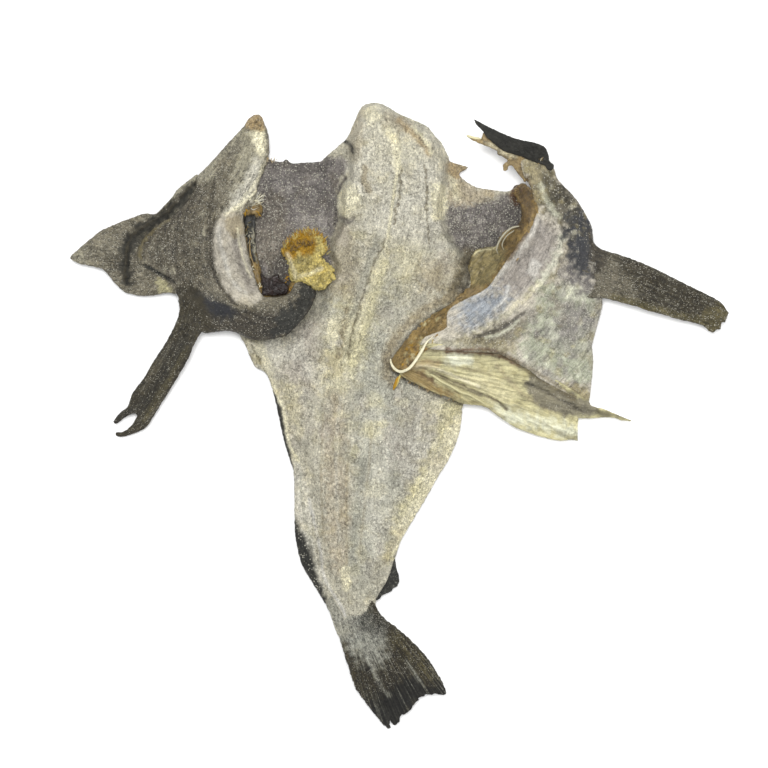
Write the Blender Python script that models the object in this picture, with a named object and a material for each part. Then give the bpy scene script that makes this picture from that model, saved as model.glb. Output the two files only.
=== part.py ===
"""A split, dried and salted cod with its collars and fins still on, lying skin side down.

The fish is one solid. It is made as overlapping leathery sheets, which a Boolean union joins:
the split body, the tail, the anal fin, and on each side the collar, its flaps and its pectoral fin.

Frame: metres, +Z up and +Y towards the nape, so the tail points to -Y. The origin is at the middle
of the fish's box, on the surface that it lies on. Sizes below are written in millimetres.
"""

import bpy
import numpy as np
from mathutils import Vector, geometry

MM = 0.001
TOP_PITCH = 7.5  # spacing of the facets on the upper side
UNDER_PITCH = 13.0  # spacing of the facets on the side that is lain on
EDGE_PITCH = 6.5  # spacing along an outline
BELLY_WALL = 3.2  # thickness of the bare belly wall and skin, where no flesh covers it
FLESH_SLOPE = 15.0  # width over which the flesh thickens from its edge
CURL = 3.0  # how far the margin of the skin lifts off the surface
CURL_WIDTH = 16.0  # width of the margin that lifts
EDGE_WIDTH = 10.0  # width over which a leathery sheet thins towards its edge
COLLAR_THICKNESS = 3.5
LIP_DEPTH, LIP_WIDTH = 9.0, 14.0  # how much thicker the left collar is under its lip, and how widely
ROOT_DEPTH, ROOT_WIDTH = 3.5, 8.0  # the same where its arm leaves the belly wall
RIM_SHOULDER, RIM_RISE, RIM_WIDTH = 12.0, 15.0, 11.0  # the right rim's low sides, and its crest above them
BURIED_LEVEL = 2.0  # how low the rim and the crust reach into the flesh
CURVE_STEPS = 12  # points between two points of a smooth curve
CORNER_MERGE = 1e-6  # how close two points of a filling count as one
LATTICE_START = 1 / 3  # how far inside its box a lattice begins, in pitches
LATTICE_CLEARANCE = 0.55  # how far a lattice's points keep off the edge, in pitches

# Outlines, as (x, y) or, at a sharp corner, (x, y, 1). They run clockwise, seen from above.
BODY = [
    (-21, 249.6), (-10, 246), (10, 235), (22, 230), (33, 217), (40, 203), (55, 198.5, 1),
    (48, 192), (60, 182), (88, 178), (101, 178), (107, 150), (92, 105), (66, 45), (50, 8),
    (46, -15), (30, -50), (8, -88), (-4, -116), (-18, -146), (-20, -158), (-40, -170), (-50, -166),
    (-58, -149), (-71, -130), (-80, -105), (-82.5, -70), (-86, -38), (-96, 0), (-104, 30),
    (-112, 37), (-118, 45), (-126, 66), (-131, 95), (-127, 150), (-112, 190), (-103, 204),
    (-90, 203.5), (-75, 201), (-60, 206), (-43, 220), (-37, 230), (-30, 246),
]
FLESH = [
    (-21, 251), (-10, 247.5), (10, 236.5), (23, 231), (34, 218), (41, 200), (40, 170), (41, 142),
    (54, 125), (66, 100), (62, 60), (51, 5), (46, -18), (31, -51), (9, -89), (-3, -116),
    (-17, -146), (-26, -160), (-42, -158), (-57, -139), (-65, -116), (-69, -80), (-79, -40),
    (-89, -20), (-96, 10), (-106, 33), (-122, 60), (-95, 62), (-76, 82), (-60, 108), (-56, 136),
    (-49, 152), (-48, 180), (-42, 205), (-42, 222), (-31, 247),
]
TAIL = [
    (-57, -147), (-50, -170), (-44, -188), (-34, -218), (-15, -244), (-8, -249.6, 1),
    (-7, -243, 1), (-3, -247.5, 1), (1, -240), (13, -231), (21, -223), (37.5, -222.5, 1), (28, -203),
    (11, -179), (-8, -164), (-19, -151), (-30, -140),
]
GILL_CRUST = [
    (-94, 131), (-85, 141), (-72, 147), (-61, 141), (-60, 125), (-50, 110), (-62, 101), (-78, 106),
    (-88, 113),
]
ANAL_FIN = [(-3.5, -114, 1), (-2.5, -124), (0, -131), (-5, -139), (-18, -148), (-30, -140), (-16, -120)]
LEFT_COLLAR = [
    (-114, 240), (-107, 234), (-104, 214), (-106, 202), (-114, 182), (-114, 171), (-126, 160, 1),
    (-123, 138), (-117, 113), (-109, 95), (-92, 95), (-84, 106), (-76, 106), (-65, 98), (-71, 83),
    (-86, 68), (-108, 61), (-128, 66), (-146, 67), (-158, 66), (-172, 80), (-176, 98), (-184, 112),
    (-199, 121, 1), (-209, 120), (-209, 136), (-199, 150), (-186, 164), (-172, 184), (-155, 192),
    (-135, 215), (-122, 232),
]
CHEEK_FLAP = [
    (-197, 160), (-207, 160), (-228, 152), (-246, 142), (-263.3, 125.5, 1), (-248, 119.5),
    (-235, 116), (-220, 99.5), (-203, 96), (-184, 98.5), (-170, 100), (-166, 125), (-178, 160),
]
LEFT_FIN = [
    (-176, 92), (-178, 74), (-187, 53), (-203, 27), (-212, 13), (-216, 5), (-224, 1), (-228, -5, 1),
    (-219, -2), (-210, 0.5, 1), (-215, -9), (-226, -14.5, 1), (-211, -13.5), (-198, 1), (-182, 27),
    (-167, 54), (-157, 67), (-146, 76), (-158, 94),
]
RIGHT_SHELL = [
    (98, 203), (110, 203), (124, 197), (129, 186), (143, 169), (152, 152), (155, 139), (163, 130),
    (163, 98), (162, 84), (155, 58), (155, 35), (151, 8, 1), (112, 28), (84, 46), (45, 50),
    (18, 56, 1), (36, 68), (42, 84), (66, 98), (80, 119), (98, 142), (107, 162), (103, 186), (92, 196),
]
RIGHT_RIM = [
    (-2, 35), (-7, 45), (12, 71), (24, 82), (43, 92), (54, 106), (62, 131), (77, 134), (95, 152),
    (99, 165), (91, 180), (101, 184), (110, 168), (104, 142), (84, 114), (60, 86), (36, 62), (10, 36),
]
RIGHT_HOOK = [
    (61, 236.5, 1), (80, 227), (97, 220.5), (114, 216), (119, 207), (112, 195), (98, 196),
    (86, 203), (75, 213), (54, 223.5, 1), (66, 226),
]
LOWER_FLAP = [
    (1, 33), (8, 42), (22, 53), (62, 52), (90, 44), (118, 28), (151, 9), (185, -4.5, 1),
    (160, -1.5), (143, -1, 1), (142.5, -19.8, 1), (122, -19.5), (96, -10), (78, 1), (50, 10), (20, 23),
]
RIGHT_FIN = [
    (154, 141), (165, 131.5), (200, 118), (240, 97), (257, 89), (263.6, 82), (257, 69), (250, 67.5),
    (238, 74), (200, 84), (168, 93), (156, 96), (148, 118),
]

# Spot heights of the upper side, as (x, y, z), from which each sheet's surface is drawn smoothly.
LEFT_COLLAR_HEIGHTS = [
    (-114, 236, 20), (-106, 205, 9), (-125, 205, 17), (-150, 190, 15), (-172, 178, 13), (-115, 178, 14),
    (-145, 165, 19), (-126, 158, 16), (-123, 130, 17), (-140, 135, 27), (-133, 108, 27), (-113, 98, 20),
    (-150, 130, 20), (-175, 140, 17), (-205, 135, 11), (-205, 122, 11), (-180, 112, 13), (-175, 88, 13),
    (-155, 95, 20), (-150, 72, 16), (-125, 78, 25), (-100, 82, 25), (-105, 63, 17), (-80, 90, 22),
    (-66, 98, 17), (-90, 98, 20), (-80, 105, 18),
]
RIGHT_SHELL_HEIGHTS = [
    (18, 56, 26), (42, 78, 29), (68, 99, 30), (82, 122, 30), (98, 144, 28), (106, 164, 24),
    (103, 186, 20), (92, 197, 23), (112, 202, 23), (128, 187, 17), (140, 166, 20), (153, 150, 12),
    (160, 125, 12), (160, 96, 10), (158, 75, 8), (153, 50, 7), (152, 20, 6.5), (125, 21, 12),
    (100, 37, 19), (70, 50, 24), (72, 84, 24), (96, 118, 24), (112, 145, 25), (128, 140, 27),
    (118, 110, 27), (95, 88, 26), (70, 68, 25), (132, 82, 16), (122, 55, 15), (142, 125, 21),
]
LOWER_FLAP_HEIGHTS = [
    (1, 33, 23), (20, 46, 25), (60, 48, 23), (90, 40, 19), (125, 18, 12), (150, 4, 7), (185, -4.5, 6),
    (142, -19, 5), (115, -17, 6), (90, -6, 9), (72, 5, 11), (50, 12, 14), (20, 25, 19), (62, 30, 20),
    (100, 12, 12),
]

TAIL_HEIGHTS = [
    (-45, -145, 9), (-25, -150, 9.5), (-30, -185, 8.5), (0, -185, 8), (38, -222, 9), (15, -205, 7),
    (-20, -225, 6.5), (-8, -250, 5.5), (-50, -172, 7),
]
ANAL_FIN_HEIGHTS = [(-3, -116, 5), (-2, -132, 4.5), (-25, -140, 6)]
CHEEK_FLAP_HEIGHTS = [
    (-263, 125, 7), (-235, 134, 9.5), (-205, 158, 8), (-210, 98, 6), (-185, 99, 8), (-200, 125, 11),
    (-170, 125, 13), (-178, 158, 11),
]
LEFT_FIN_HEIGHTS = [
    (-160, 88, 15), (-176, 88, 12), (-150, 74, 13), (-172, 60, 14), (-190, 35, 13), (-205, 12, 9),
    (-226, -3, 5), (-224, -14, 4), (-185, 28, 10),
]
RIGHT_FIN_HEIGHTS = [
    (152, 132, 13), (152, 104, 13), (180, 110, 16), (215, 98, 15), (262, 80, 9), (240, 96, 11),
    (235, 75, 10),
]
HOOK_HEIGHTS = [(61, 236, 24), (54, 223, 25), (90, 216, 30), (114, 210, 26), (105, 198, 23)]
CRUST_HEIGHTS = [
    (-92, 131, 13), (-80, 141, 17), (-70, 146, 15), (-62, 140, 16), (-75, 128, 23), (-60, 120, 17),
    (-51, 110, 13), (-63, 102, 14), (-78, 108, 18), (-87, 115, 15), (-68, 112, 20),
]

# Courses, as (x, y): the left collar's lip, the root of its arm, and the right rim's crest.
LIP_COURSE = [(-128, 76), (-108, 76), (-90, 82), (-77, 95)]
ROOT_COURSE = [(-106, 206), (-110, 192)]
RIM_CREST = [(6, 40), (26, 60), (45, 78), (66, 94), (84, 116), (102, 142), (107, 165)]

# Ridges that stand up from the flesh, as (course, height, half width).
FLESH_RIDGES = [
    ([(-15, 244), (-8, 200), (-9, 160), (-25, 110), (-35, 60), (-47, 30)], 2.5, 11),
    ([(-42, 178), (-40, 166)], 2.5, 8),
    ([(34, 216), (28, 190), (30, 165), (32, 130)], 1.5, 9),
    ([(-62, -90), (-60, -120), (-50, -147)], 1.5, 6),
]

# Thicknesses at stations along the fish, as y: thickness.
FLESH_THICKNESS = {-165: 3.5, -120: 6.5, -60: 8.5, 0: 9.5, 60: 10.5, 120: 12.5, 200: 15.0, 245: 12.0}
TAIL_THICKNESS = {-250: 1.8, -200: 3.0, -165: 5.5, -140: 7.5}

DRIED_FISH = {"colour": (0.50, 0.46, 0.37), "roughness": 0.85}


def smooth_step(t):
    """0 below 0, 1 above 1, and a smooth rise between them."""
    t = np.clip(t, 0, 1)
    return t * t * (3 - 2 * t)


def spread_along(course, pitch):
    """Points about one pitch apart along straight runs between the points of a course."""
    course = np.asarray(course, float)
    steps = np.linalg.norm(np.diff(course, axis=0), axis=1)
    length = np.concatenate([[0], np.cumsum(steps)])
    at = np.linspace(0, length[-1], max(2, round(length[-1] / pitch) + 1))
    return np.stack([np.interp(at, length, course[:, k]) for k in (0, 1)], axis=1)


def curve_through(points):
    """A Catmull-Rom curve through an open list of points, as a fine polyline."""
    points = np.asarray(points, float)
    if len(points) == 2:
        return points
    padded = np.vstack([2 * points[0] - points[1], points, 2 * points[-1] - points[-2]])
    t = np.linspace(0, 1, CURVE_STEPS, endpoint=False)[:, None]
    runs = []
    for a, b, c, d in zip(padded, padded[1:], padded[2:], padded[3:]):
        runs.append(
            0.5 * (2 * b + (c - a) * t + (2 * a - 5 * b + 4 * c - d) * t**2
                   + (3 * b - a - 3 * c + d) * t**3)
        )
    return np.vstack([*runs, points[-1:]])


def outline_points(outline, pitch):
    """A closed outline as points about one pitch apart: curved, with its marked corners kept sharp."""
    count = len(outline)
    corners = [i for i, point in enumerate(outline) if len(point) == 3]
    places = [point[:2] for point in outline]
    if not corners:
        wrapped = curve_through([places[(i - 2) % count] for i in range(count + 5)])
        first = 2 * CURVE_STEPS
        return spread_along(wrapped[first:first + count * CURVE_STEPS + 1], pitch)[:-1]
    runs = []
    for start, end in zip(corners, [*corners[1:], corners[0] + count]):
        run = [places[i % count] for i in range(start, end + 1)]
        runs.append(spread_along(curve_through(run), pitch)[:-1])
    return np.vstack(runs)


def distance_to(points, line):
    """Each point's distance to a polyline."""
    nearest = np.full(len(points), np.inf)
    for a, b in zip(line, line[1:]):
        run = b - a
        t = np.clip((points - a) @ run / max(run @ run, 1e-12), 0, 1)
        nearest = np.minimum(nearest, np.linalg.norm(points - a - t[:, None] * run, axis=1))
    return nearest


def is_inside(points, loop):
    """Whether each point lies inside a closed loop."""
    inside = np.zeros(len(points), bool)
    x, y = points.T
    for (x0, y0), (x1, y1) in zip(loop, np.roll(loop, -1, axis=0)):
        crosses = (y0 > y) != (y1 > y)
        at = x0 + (y - y0) * (x1 - x0) / np.where(y1 == y0, 1e-9, y1 - y0)
        inside ^= crosses & (x < at)
    return inside


def depth_inside(points, loop):
    """Each point's distance from a closed loop: positive inside it and negative outside."""
    distance = distance_to(points, np.vstack([loop, loop[:1]]))
    return np.where(is_inside(points, loop), distance, -distance)


def surface_through(spots):
    """A function of points that gives the thin-plate surface through spot heights (x, y, z)."""
    spots = np.asarray(spots, float)
    places, heights = spots[:, :2], spots[:, 2]

    def columns(points):
        """The bending and the flat terms of the surface at some points."""
        r = np.linalg.norm(points[:, None] - places[None], axis=2)
        bends = r**2 * np.log(np.maximum(r, 1e-9))
        return bends, np.column_stack([np.ones(len(points)), points])

    bends, plane = columns(places)
    size = plane.shape[1]
    system = np.block([[bends, plane], [plane.T, np.zeros((size, size))]])
    weights = np.linalg.solve(system, np.concatenate([heights, np.zeros(size)]))

    def surface(points):
        """The surface's height at some points."""
        at_points, at_plane = columns(points)
        return at_points @ weights[:-size] + at_plane @ weights[-size:]

    return surface


def ridge(points, course, height, half_width):
    """A rounded ridge along a course."""
    distance = distance_to(points, curve_through(course))
    return height * np.exp(-((distance / half_width) ** 2))


def lattice_inside(loop, pitch):
    """Points of a triangular lattice that lie well inside a closed loop."""
    low, high = loop.min(axis=0), loop.max(axis=0)
    first = low + LATTICE_START * pitch
    rows = np.arange(first[1], high[1], pitch * np.sqrt(3) / 2)
    columns = np.arange(first[0], high[0], pitch)
    grid = np.array([
        (x + (k % 2) * pitch / 2, y) for k, y in enumerate(rows) for x in columns
    ])
    return grid[depth_inside(grid, loop) > LATTICE_CLEARANCE * pitch]


def filled(loop, pitch):
    """Points and triangles that fill a closed loop. The loop's own points come first."""
    points = np.vstack([loop, lattice_inside(loop, pitch)])
    only_inside = 1
    edge = list(range(len(loop)))
    found = geometry.delaunay_2d_cdt([Vector(p) for p in points], [], [edge], only_inside, CORNER_MERGE)
    back = [origins[0] for origins in found[3]]
    triangles = [[back[i] for i in face] for face in found[2]]
    return points, [t if turns_left(points[t]) else t[::-1] for t in triangles]


def turns_left(corners):
    """Whether a triangle's corners run anticlockwise."""
    (ax, ay), (bx, by) = corners[1] - corners[0], corners[2] - corners[0]
    return ax * by - ay * bx > 0


def sheet(name, outline, top, under):
    """A closed sheet over an outline, between two surfaces that are functions of (points, depth)."""
    loop = outline_points(outline, EDGE_PITCH)
    upper, upper_faces = filled(loop, TOP_PITCH)
    lower, lower_faces = filled(loop, UNDER_PITCH)
    upper_z = top(upper, np.maximum(depth_inside(upper, loop), 0))
    lower_z = under(lower, np.maximum(depth_inside(lower, loop), 0))
    rim, count = len(loop), len(upper)
    vertices = np.vstack([np.column_stack([upper, upper_z]), np.column_stack([lower, lower_z])])
    faces = [tuple(t) for t in upper_faces]
    faces += [tuple(count + i for i in reversed(t)) for t in lower_faces]
    runs_left = np.cross(loop, np.roll(loop, -1, axis=0)).sum() > 0
    for i in range(rim):
        j = (i + 1) % rim
        wall = (i, count + i, count + j, j) if runs_left else (i, j, count + j, count + i)
        faces.append(wall)
    mesh = bpy.data.meshes.new(name)
    mesh.from_pydata([tuple(v) for v in vertices * MM], [], faces)
    made = bpy.data.objects.new(name, mesh)
    bpy.context.scene.collection.objects.link(made)
    return made


def skin_lift(depth):
    """How far the skin side stands off the surface, which it does only near the fish's outline."""
    return CURL * (1 - smooth_step(depth / CURL_WIDTH))


def at_stations(points, sizes):
    """A size at each point, read between its values at stations along the fish."""
    stations = sorted(sizes)
    return np.interp(points[:, 1], stations, [sizes[y] for y in stations])


def split_body():
    """The flesh and belly walls, opened out flat on the skin."""
    flesh_loop = outline_points(FLESH, EDGE_PITCH)

    def top(points, depth):
        """The upper side: bare belly wall, and flesh where the flesh lies."""
        flesh = smooth_step(depth_inside(points, flesh_loop) / FLESH_SLOPE)
        thickness = at_stations(points, FLESH_THICKNESS)
        relief = sum(ridge(points, *each) for each in FLESH_RIDGES)
        return skin_lift(depth) + BELLY_WALL + flesh * (thickness + relief)

    return sheet("body", BODY, top, lambda points, depth: skin_lift(depth))


def thin_sheet(name, outline, heights, thickness, edge_thickness):
    """A leathery sheet whose upper side passes through spot heights."""
    surface = surface_through(heights)

    def thick(depth):
        """The sheet's thickness at a depth inside its edge."""
        return edge_thickness + (thickness - edge_thickness) * smooth_step(depth / EDGE_WIDTH)

    return sheet(
        name,
        outline,
        lambda points, depth: surface(points),
        lambda points, depth: surface(points) - thick(depth),
    )


def tail_fin():
    """The tail, which thins from the fish's wrist to its ragged end."""
    surface = surface_through(TAIL_HEIGHTS)
    return sheet(
        "tail_fin",
        TAIL,
        lambda points, depth: surface(points),
        lambda points, depth: surface(points) - at_stations(points, TAIL_THICKNESS),
    )


def left_collar():
    """The left collar bone in its skin: an arm, a plate, and a thick lip that lies on the flesh."""
    surface = surface_through(LEFT_COLLAR_HEIGHTS)

    def under(points, depth):
        """The lower side, which reaches down to the flesh under the lip and at the arm's root."""
        lip = ridge(points, LIP_COURSE, LIP_DEPTH, LIP_WIDTH)
        root = ridge(points, ROOT_COURSE, ROOT_DEPTH, ROOT_WIDTH)
        return surface(points) - COLLAR_THICKNESS - lip - root

    return sheet("left_collar", LEFT_COLLAR, lambda points, depth: surface(points), under)


def right_rim():
    """The thick cut edge on which the right collar's shell stands over the flesh."""
    return sheet(
        "right_rim",
        RIGHT_RIM,
        lambda points, depth: RIM_SHOULDER + ridge(points, RIM_CREST, RIM_RISE, RIM_WIDTH),
        lambda points, depth: np.full(len(points), BURIED_LEVEL),
    )


def gill_crust():
    """The crumbly dried mass that stands in the crook of the left collar."""
    crown = surface_through(CRUST_HEIGHTS)
    return sheet(
        "gill_crust",
        GILL_CRUST,
        lambda points, depth: crown(points),
        lambda points, depth: np.full(len(points), BURIED_LEVEL),
    )


def pieces():
    """Every sheet of the fish, the body first. Thin sheets end with their thickness inside and at the edge."""
    return [
        split_body(),
        tail_fin(),
        thin_sheet("anal_fin", ANAL_FIN, ANAL_FIN_HEIGHTS, 3.0, 1.6),
        left_collar(),
        gill_crust(),
        thin_sheet("cheek_flap", CHEEK_FLAP, CHEEK_FLAP_HEIGHTS, 3.2, 1.6),
        thin_sheet("left_pectoral_fin", LEFT_FIN, LEFT_FIN_HEIGHTS, 4.0, 2.0),
        thin_sheet("right_shell", RIGHT_SHELL, RIGHT_SHELL_HEIGHTS, 4.5, 2.6),
        right_rim(),
        thin_sheet("right_hook", RIGHT_HOOK, HOOK_HEIGHTS, 7.0, 3.5),
        thin_sheet("lower_flap", LOWER_FLAP, LOWER_FLAP_HEIGHTS, 4.0, 2.0),
        thin_sheet("right_pectoral_fin", RIGHT_FIN, RIGHT_FIN_HEIGHTS, 4.0, 2.0),
    ]


def dried_fish_material():
    """The one finish of the solid."""
    made = bpy.data.materials.new("dried_fish")
    made.use_nodes = True
    shader = made.node_tree.nodes["Principled BSDF"]
    shader.inputs["Base Color"].default_value = (*DRIED_FISH["colour"], 1)
    shader.inputs["Roughness"].default_value = DRIED_FISH["roughness"]
    return made


def joined(sheets):
    """The first sheet with a union modifier for each of the others, which are kept as hidden guides."""
    fish, *others = sheets
    fish.name = "salted_cod"
    fish.data.materials.append(dried_fish_material())
    for other in others:
        union = fish.modifiers.new("with_" + other.name, "BOOLEAN")
        union.operation = "UNION"
        union.object = other
        other.hide_render = True
        other.display_type = "WIRE"
    return fish


def main():
    """Clears the scene and builds the fish."""
    for old in list(bpy.data.objects):
        bpy.data.objects.remove(old)
    joined(pieces())


main()
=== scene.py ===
"""The looks of a split, dried and salted cod that lies on its skin with its collars spread.

Every piece is a leathery sheet, a lump, a strand or a scatter of grains on one CAD body. Lengths below
are written in millimetres in the CAD frame: +Y towards the nape, +X to the right, +Z up.
"""

from __future__ import annotations

import logging
from dataclasses import dataclass
from enum import Enum
from typing import Callable, Sequence

import bpy
import numpy as np
from bpy.types import Material, Node, NodeSocket, Object
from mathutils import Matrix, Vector, geometry, kdtree


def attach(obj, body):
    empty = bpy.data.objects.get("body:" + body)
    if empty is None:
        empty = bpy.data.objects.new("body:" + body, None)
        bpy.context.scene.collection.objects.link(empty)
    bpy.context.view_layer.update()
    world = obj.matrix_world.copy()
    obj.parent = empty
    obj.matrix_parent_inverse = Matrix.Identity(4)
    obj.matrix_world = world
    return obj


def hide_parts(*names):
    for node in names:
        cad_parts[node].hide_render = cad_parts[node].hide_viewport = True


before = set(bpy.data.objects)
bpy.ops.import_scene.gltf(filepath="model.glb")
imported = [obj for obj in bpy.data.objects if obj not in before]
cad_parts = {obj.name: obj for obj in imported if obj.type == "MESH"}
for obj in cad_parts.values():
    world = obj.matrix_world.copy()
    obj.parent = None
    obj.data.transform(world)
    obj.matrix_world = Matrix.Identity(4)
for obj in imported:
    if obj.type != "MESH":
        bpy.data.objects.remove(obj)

log = logging.getLogger("salted_cod")

MM = 0.001
BODY = "root"
CAD_NODE = "salted_cod"
CURVE_STEPS = 8  # points between two points of a smooth curve
DAYLIGHT = 1.2  # how bright a flat white sheet is under the studio's light
MARGIN = 0.4  # how far every sheet reaches past its outline
EDGE_PITCH = 3.0  # the distance between the points that stand for a mark's outline
LOWEST_HAIR = 5.0  # no hair reaches below this height
EYE = np.array([-12.0, 25.2, 1450.7])  # the camera's place, from which all courses are laid out

Array = np.ndarray
Outline = Sequence[tuple]
Height = Callable[[Array, Array], Array]


class Tone(Enum):
    """The colours of the dried fish, with the painted shade, highlights and sky reflection on it, as sRGB
    numbers from 0 to 255.
    """

    FLESH = (199, 194, 174)
    FLESH_PALE = (216, 212, 196)
    FLESH_GREY = (163, 162, 147)
    FLESH_COOL = (186, 187, 173)
    FLESH_LILAC = (180, 172, 160)
    FLESH_YELLOW = (222, 214, 170)
    FLESH_BROWN = (160, 147, 117)
    # painted shade in creases and in the gaps where one part meets another
    GROOVE_SHADE = (108, 98, 72)
    MEMBRANE = (126, 120, 116)
    MEMBRANE_DARK = (92, 87, 83)
    MEMBRANE_PALE = (166, 160, 154)
    PINK_BEIGE = (184, 172, 148)
    SCRAP = (170, 148, 108)
    HOOK = (146, 126, 86)
    SKIN_DARK = (46, 46, 41)
    SKIN_BACK = (86, 84, 70)
    SKIN_BELLY = (158, 154, 138)
    FIN_BLACK = (36, 35, 29)
    FIN_BROWN = (56, 50, 33)
    FIN_OLIVE = (98, 90, 56)
    FIN_GREY = (160, 160, 148)
    COLLAR = (116, 110, 93)
    COLLAR_DARK = (62, 56, 45)
    COLLAR_PALE = (168, 163, 141)
    SATIN = (188, 181, 165)
    SATIN_LILAC = (144, 137, 128)
    # a painted reflection of the sky on the shell's satin
    SKY_REFLECTION_BLUE = (128, 138, 150)
    # the own colour of the raised white line near the tail, and painted highlights on the satin
    WHITE_AND_HIGHLIGHT = (216, 213, 203)
    HORN = (142, 118, 68)
    HORN_DARK = (94, 74, 40)
    RED_BROWN = (92, 64, 40)
    BLOOD = (38, 24, 20)
    BLUE_BLACK = (34, 36, 42)
    CRUST_YELLOW = (210, 192, 114)
    CRUST_ORANGE = (178, 134, 6)
    CREAM = (240, 233, 200)
    FLAP_YELLOW = (198, 191, 146)
    FLAP_PALE = (228, 229, 203)
    WEB_GREEN = (158, 162, 138)
    OLIVE = (136, 125, 84)
    SALT = (222, 220, 212)
    DUST = (200, 196, 180)

    @property
    def linear(self) -> Array:
        """The colour as linear light from 0 to 1."""
        share = np.array(self.value) / 255
        return np.where(share <= 0.04045, share / 12.92, ((share + 0.055) / 1.055) ** 2.4) / DAYLIGHT


def smooth_step(share: Array) -> Array:
    """0 below 0, 1 above 1, and a smooth rise between them."""
    share = np.clip(share, 0, 1)
    return share * share * (3 - 2 * share)


def curve_through(points: Sequence[tuple], steps: int = CURVE_STEPS) -> Array:
    """A Catmull-Rom curve through an open list of points.

    Args:
        points: places in two or three dimensions.
        steps: how many points stand for each stretch.

    Returns:
        The curve's points, one row each.
    """
    points = np.asarray(points, float)
    if len(points) == 2:
        return points
    padded = np.vstack([2 * points[0] - points[1], points, 2 * points[-1] - points[-2]])
    t = np.linspace(0, 1, steps, endpoint=False)[:, None]
    runs = []
    for a, b, c, d in zip(padded, padded[1:], padded[2:], padded[3:]):
        bend = 2 * b + (c - a) * t + (2 * a - 5 * b + 4 * c - d) * t**2
        runs.append(0.5 * (bend + (3 * b - a - 3 * c + d) * t**3))
    return np.vstack([*runs, points[-1:]])


def spread_along(course: Array, pitch: float) -> Array:
    """Points about one pitch apart along a polyline, with both of its ends.

    Args:
        course: the polyline's points.
        pitch: the distance between neighbours.

    Returns:
        The points, one row each.
    """
    steps = np.linalg.norm(np.diff(course, axis=0), axis=1)
    length = np.concatenate([[0], np.cumsum(steps)])
    at = np.linspace(0, length[-1], max(2, round(length[-1] / pitch) + 1))
    return np.stack([np.interp(at, length, column) for column in course.T], axis=1)


def closed_curve(outline: Outline, pitch: float) -> Array:
    """A closed outline as points about one pitch apart.

    Args:
        outline: places as (x, y), or (x, y, 1) at a sharp corner.
        pitch: the distance between neighbours.

    Returns:
        The loop's points, without a repeat of the first.
    """
    count = len(outline)
    corners = [i for i, point in enumerate(outline) if len(point) == 3]
    places = [point[:2] for point in outline]
    if not corners:
        wrapped = curve_through([places[(i - 2) % count] for i in range(count + 5)])
        first = 2 * CURVE_STEPS
        return spread_along(wrapped[first : first + count * CURVE_STEPS + 1], pitch)[:-1]
    runs = []
    for start, end in zip(corners, [*corners[1:], corners[0] + count]):
        run = [places[i % count] for i in range(start, end + 1)]
        runs.append(spread_along(curve_through(run), pitch)[:-1])
    return np.vstack(runs)


def nearest_on(points: Array, line: Array) -> tuple[Array, Array, Array]:
    """How points lie beside a polyline.

    Args:
        points: places in the plane, one row each.
        line: the polyline's points.

    Returns:
        Each point's distance, the length run along the line to its nearest place, and 1 or -1 for its side.
    """
    distance = np.full(len(points), np.inf)
    along, side = np.zeros(len(points)), np.ones(len(points))
    run_so_far = 0.0
    for a, b in zip(line, line[1:]):
        run = b - a
        length = max(float(np.hypot(*run)), 1e-9)
        t = np.clip((points - a) @ run / length**2, 0, 1)
        gap = points - a - t[:, None] * run
        d = np.hypot(gap[:, 0], gap[:, 1])
        closer = d < distance
        distance[closer] = d[closer]
        along[closer] = run_so_far + t[closer] * length
        side[closer] = np.sign(run[0] * gap[closer, 1] - run[1] * gap[closer, 0])
        run_so_far += length
    return distance, along, side


def is_inside(points: Array, loop: Array) -> Array:
    """Whether each point lies inside a closed loop.

    Args:
        points: places in the plane, one row each.
        loop: the loop's points.

    Returns:
        True or False for each point.
    """
    inside = np.zeros(len(points), bool)
    x, y = points.T
    for (x0, y0), (x1, y1) in zip(loop, np.roll(loop, -1, axis=0)):
        crosses = (y0 > y) != (y1 > y)
        inside ^= crosses & (x < x0 + (y - y0) * (x1 - x0) / (y1 - y0 + (y1 == y0)))
    return inside


def depth_in(points: Array, loop: Array) -> Array:
    """Each point's distance from a closed loop: positive inside it and negative outside."""
    distance = nearest_on(points, np.vstack([loop, loop[:1]]))[0]
    return np.where(is_inside(points, loop), distance, -distance)


def outward(loop: Array) -> Array:
    """The direction out of a closed loop at each of its points.

    Args:
        loop: the loop's points.

    Returns:
        A direction of length 1 for each point.
    """
    step = np.roll(loop, -1, axis=0) - np.roll(loop, 1, axis=0)
    out = np.stack([step[:, 1], -step[:, 0]], axis=1) / np.linalg.norm(step, axis=1, keepdims=True)
    return out * np.sign(np.cross(loop, np.roll(loop, -1, axis=0)).sum())


def along_fish(points: Array, stations: Sequence[tuple]) -> Array:
    """A size at each point, from stations (y, size) along the fish."""
    return np.interp(points[:, 1], *zip(*stations))


def surface_through(spots: Sequence[tuple]) -> Callable[[Array], Array]:
    """The thin-plate surface through spot heights (x, y, z), as a function of points.

    Args:
        spots: at least three places with their heights.

    Returns:
        The function.
    """
    places, heights = np.array(spots, float)[:, :2], np.array(spots, float)[:, 2]

    def columns(points: Array) -> tuple[Array, Array]:
        """The bending and the flat terms of the surface at some points."""
        r = np.linalg.norm(points[:, None] - places[None], axis=2)
        return r**2 * np.log(np.maximum(r, 1e-9)), np.column_stack([np.ones(len(points)), points])

    bends, plane = columns(places)
    size = plane.shape[1]
    system = np.block([[bends, plane], [plane.T, np.zeros((size, size))]])
    weights = np.linalg.solve(system, np.concatenate([heights, np.zeros(size)]))

    def surface(points: Array) -> Array:
        """The surface's height at each point."""
        at_points, at_plane = columns(points)
        return at_points @ weights[:-size] + at_plane @ weights[-size:]

    return surface


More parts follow.
